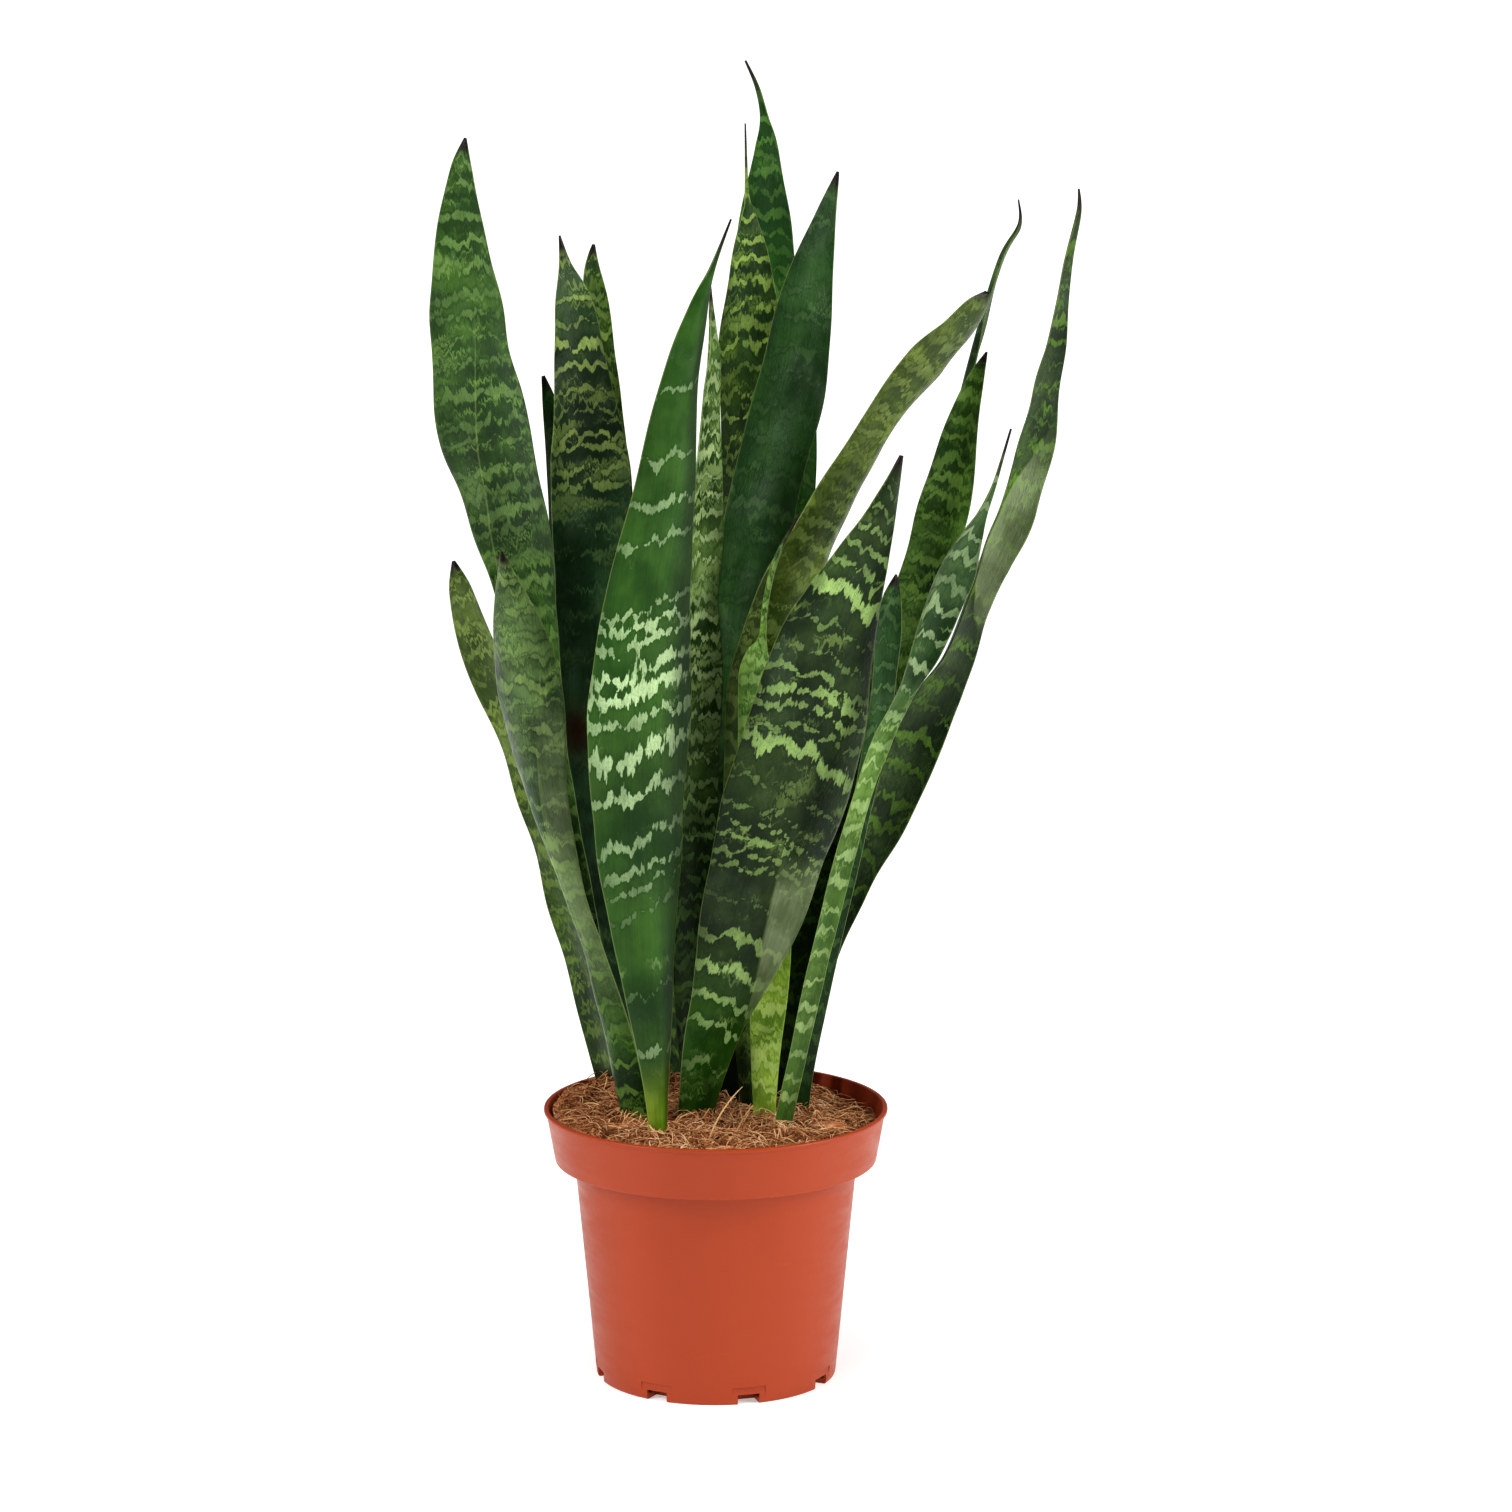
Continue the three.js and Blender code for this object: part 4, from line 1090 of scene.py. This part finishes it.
FIBRE_GRAIN = (90, 90, 90)
FIBRE_PALE = coir_material("fibre_pale", ((168, 116, 74), (220, 170, 122), (240, 208, 168)), FIBRE_GRAIN)
FIBRE_BROWN = coir_material("fibre_brown", ((104, 60, 34), (166, 108, 68), (206, 150, 104)), FIBRE_GRAIN)
loose_fibres("fibres_brown", 1900, (7 * MM, 22 * MM), (0.18 * MM, 0.44 * MM), (0, 2.6 * MM), 11, FIBRE_BROWN)
loose_fibres("fibres_pale", 1300, (8 * MM, 26 * MM), (0.14 * MM, 0.36 * MM), (0, 4.2 * MM), 23, FIBRE_PALE)
loose_fibres(
    "fibres_at_crowns", 700, (6 * MM, 15 * MM), (0.18 * MM, 0.42 * MM), (0.5 * MM, 4 * MM), 37,
    FIBRE_PALE, CROWNS,
)


def icosphere(subdivisions):
    """The corners and triangles of a ball of radius 1."""
    shape = bmesh.new()
    bmesh.ops.create_icosphere(shape, subdivisions=subdivisions, radius=1)
    shape.verts.index_update()
    corners = [v.co.copy() for v in shape.verts]
    triangles = [tuple(v.index for v in f.verts) for f in shape.faces]
    shape.free()
    return corners, triangles


def crumbs(name, count, size, seed, material):
    """Small lumps of coir pith sunk part way into the surface."""
    draws = random.Random(seed)
    corners, triangles = icosphere(1)
    vertices, faces = [], []
    for _ in range(count):
        x, y = anywhere_on_mix(draws)
        scale = Vector([draws.uniform(*size) for _ in range(3)])
        spin = draws.uniform(0, math.pi)
        start = len(vertices)
        for corner in corners:
            bumpy = 1 + 0.45 * noise.noise(corner * 1.6 + Vector((x, y, 0)) * 900)
            px, py, pz = corner.x * scale.x * bumpy, corner.y * scale.y * bumpy, corner.z * scale.z * bumpy
            vertices.append((
                x + px * math.cos(spin) - py * math.sin(spin),
                y + px * math.sin(spin) + py * math.cos(spin),
                soil_top(x, y) + pz,
            ))
        faces += [tuple(start + i for i in face) for face in triangles]
    thing = mesh_object(name, vertices, faces, material)
    belongs(thing, "coir_mix")


CRUMB = coir_material("coir_crumb", ((112, 66, 38), (184, 124, 80), (226, 174, 128)), (600, 600, 600))
crumbs("coir_crumbs", 1900, (0.6 * MM, 2.2 * MM), 5, CRUMB)

# Longer dry strands that stand out of the mix at the front, as (start, bend, end) in millimetres.
STRANDS = [
    ((-4, -52, 131), (2, -50, 148), (13, -48, 158)),
    ((-22, -46, 130), (-19, -45, 136), (-12, -54, 131)),
    ((9, -40, 131), (13, -39, 140), (18, -42, 147)),
    ((-8, -56, 131), (-3, -57, 135), (4, -60, 130)),
    ((26, -50, 129), (33, -48, 136), (40, -58, 131)),
    ((60, -22, 127), (65, -18, 134), (62, -34, 129)),
    ((44, -30, 128), (54, -26, 134), (66, -30, 131)),
    ((-58, -34, 134), (-50, -40, 138), (-38, -44, 133)),
    ((-66, 6, 135), (-58, -2, 140), (-52, -14, 135)),
    ((34, 60, 127), (44, 58, 135), (52, 48, 128)),
    ((-20, 66, 132), (-8, 70, 139), (6, 68, 132)),
]


def strands():
    paths = []
    for start, bend, end in STRANDS:
        a, b, c = (np.array(p) * MM for p in (start, bend, end))
        paths.append([(1 - t) ** 2 * a + 2 * t * (1 - t) * b + t * t * c for t in np.linspace(0, 1, 14)])
    straw = coir_material("dry_straw", ((170, 130, 84), (214, 178, 126), (240, 216, 176)), (60, 60, 60))
    belongs(tubes("dry_strands", paths, [0.42 * MM] * len(paths), 7, straw), "coir_mix")


strands()


def clod(name, centre, size, seed, material):
    """A smooth clod of packed coir resting in the surface."""
    x, y = centre[0] * MM, centre[1] * MM
    middle = Vector((x, y, soil_top(x, y) + centre[2] * MM))
    corners, triangles = icosphere(4)
    vertices = []
    for corner in corners:
        swell = 1 + 0.22 * noise.fractal(corner * 1.3 + Vector((seed, 0, 0)), 1.0, 2.0, 4)
        shaped = Vector((corner.x * size[0], corner.y * size[1], corner.z * size[2]))
        vertices.append(shaped * swell * MM + middle)
    belongs(mesh_object(name, vertices, triangles, material), "coir_mix")


CLOD = coir_material("coir_clod", ((130, 76, 46), (196, 128, 88), (226, 164, 120)), (260, 260, 260))
clod("clod_right", (54, -20, 0.4), (12, 6, 3.4), 2, CLOD)
clod("clod_front", (2, -66, 0.2), (11, 5, 2.6), 7, CLOD)
clod("clod_left", (-48, -34, 0.2), (9, 6, 2.8), 12, CLOD)


# ---------------- rhizome, inside the mix


def stem_material():
    """Dry papery skin with rings of old leaf scars."""
    n = Nodes("rhizome_skin")
    place = n.place()
    rings = n.noise(place, (60, 60, 260), detail=4)
    fibres = n.noise(place, (500, 500, 120), detail=4, roughness=0.7)
    colour = n.mix(n.ramp(rings, 0.35, 0.65), linear(150, 108, 70), linear(212, 172, 128))
    colour = n.mix(n.ramp(fibres, 0.5, 0.7, 0, 0.5), colour, linear(120, 78, 48))
    n.set("Base Color", colour)
    n.set("Roughness", n.ramp(fibres, 0.3, 0.7, 0.6, 0.9))
    n.bump(n.plus(rings, fibres), 0.6 * MM)
    return n.material


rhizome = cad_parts["rhizome"]
rhizome.data.materials.clear()
rhizome.data.materials.append(stem_material())


# ---------------- floor, light and camera


def stage_floor():
    """White paper that glows a little more with distance, so that it stays even out of the lamps' reach."""
    n = Nodes("floor_paper")
    tone = n.noise(n.place(), (2, 2, 2))
    n.set("Base Color", n.mix(tone, grey(0.9), grey(0.93)))
    n.set("Roughness", 0.9)
    n.set("Specular IOR Level", 0.1)
    n.set("Emission Color", grey(1))
    away = n.new("VectorMath")
    away.operation = "LENGTH"
    n.put(away.inputs[0], n.place())
    n.set("Emission Strength", n.ramp(away.outputs["Value"], 0.3, 4, 0.34, 0.86))
    half = 20
    corners = [(-half, -half, 0), (half, -half, 0), (half, half, 0), (-half, half, 0)]
    mesh_object("studio_floor", corners, [(0, 1, 2, 3)], n.material, smooth=False)


def soft_light(name, place, target, size, power):
    lamp = bpy.data.lights.new(name, "AREA")
    lamp.shape = "RECTANGLE"
    lamp.size, lamp.size_y = size
    lamp.energy = power
    thing = placed(name, lamp)
    thing.location = place
    thing.rotation_euler = (Vector(target) - Vector(place)).to_track_quat("-Z", "Y").to_euler()


def world_light(strength):
    world = bpy.data.worlds.new("studio")
    world.use_nodes = True
    background = world.node_tree.nodes["Background"]
    background.inputs["Color"].default_value = grey(1)
    background.inputs["Strength"].default_value = strength
    bpy.context.scene.world = world


LENS_LENGTH = 139.07
CAMERA_PLACE = (0, -2.8, 0.87)
CAMERA_DIP = math.radians(11.265)
CAMERA_TURN = math.radians(-0.407)


def camera():
    """A long lens nearly 3 m away, a little above the leaves, looking slightly down."""
    lens = bpy.data.cameras.new("camera")
    lens.sensor_width = 36
    lens.lens = LENS_LENGTH
    lens.clip_end = 100
    thing = placed("camera", lens)
    thing.location = CAMERA_PLACE
    thing.rotation_euler = (math.radians(90) - CAMERA_DIP, 0, CAMERA_TURN)
    bpy.context.scene.camera = thing


stage_floor()
soft_light("left", (-2.0, -1.1, 1.6), (0, 0, 0.4), (0.9, 1.4), 42)
soft_light("right", (2.0, -0.7, 1.3), (0, 0, 0.35), (0.9, 1.6), 42)
soft_light("top", (-0.2, -0.4, 2.4), (0, 0, 0.3), (1.2, 1.2), 16)
world_light(0.22)
camera()
bpy.context.scene.view_settings.view_transform = "Standard"
bpy.context.scene.view_settings.look = "Medium High Contrast"
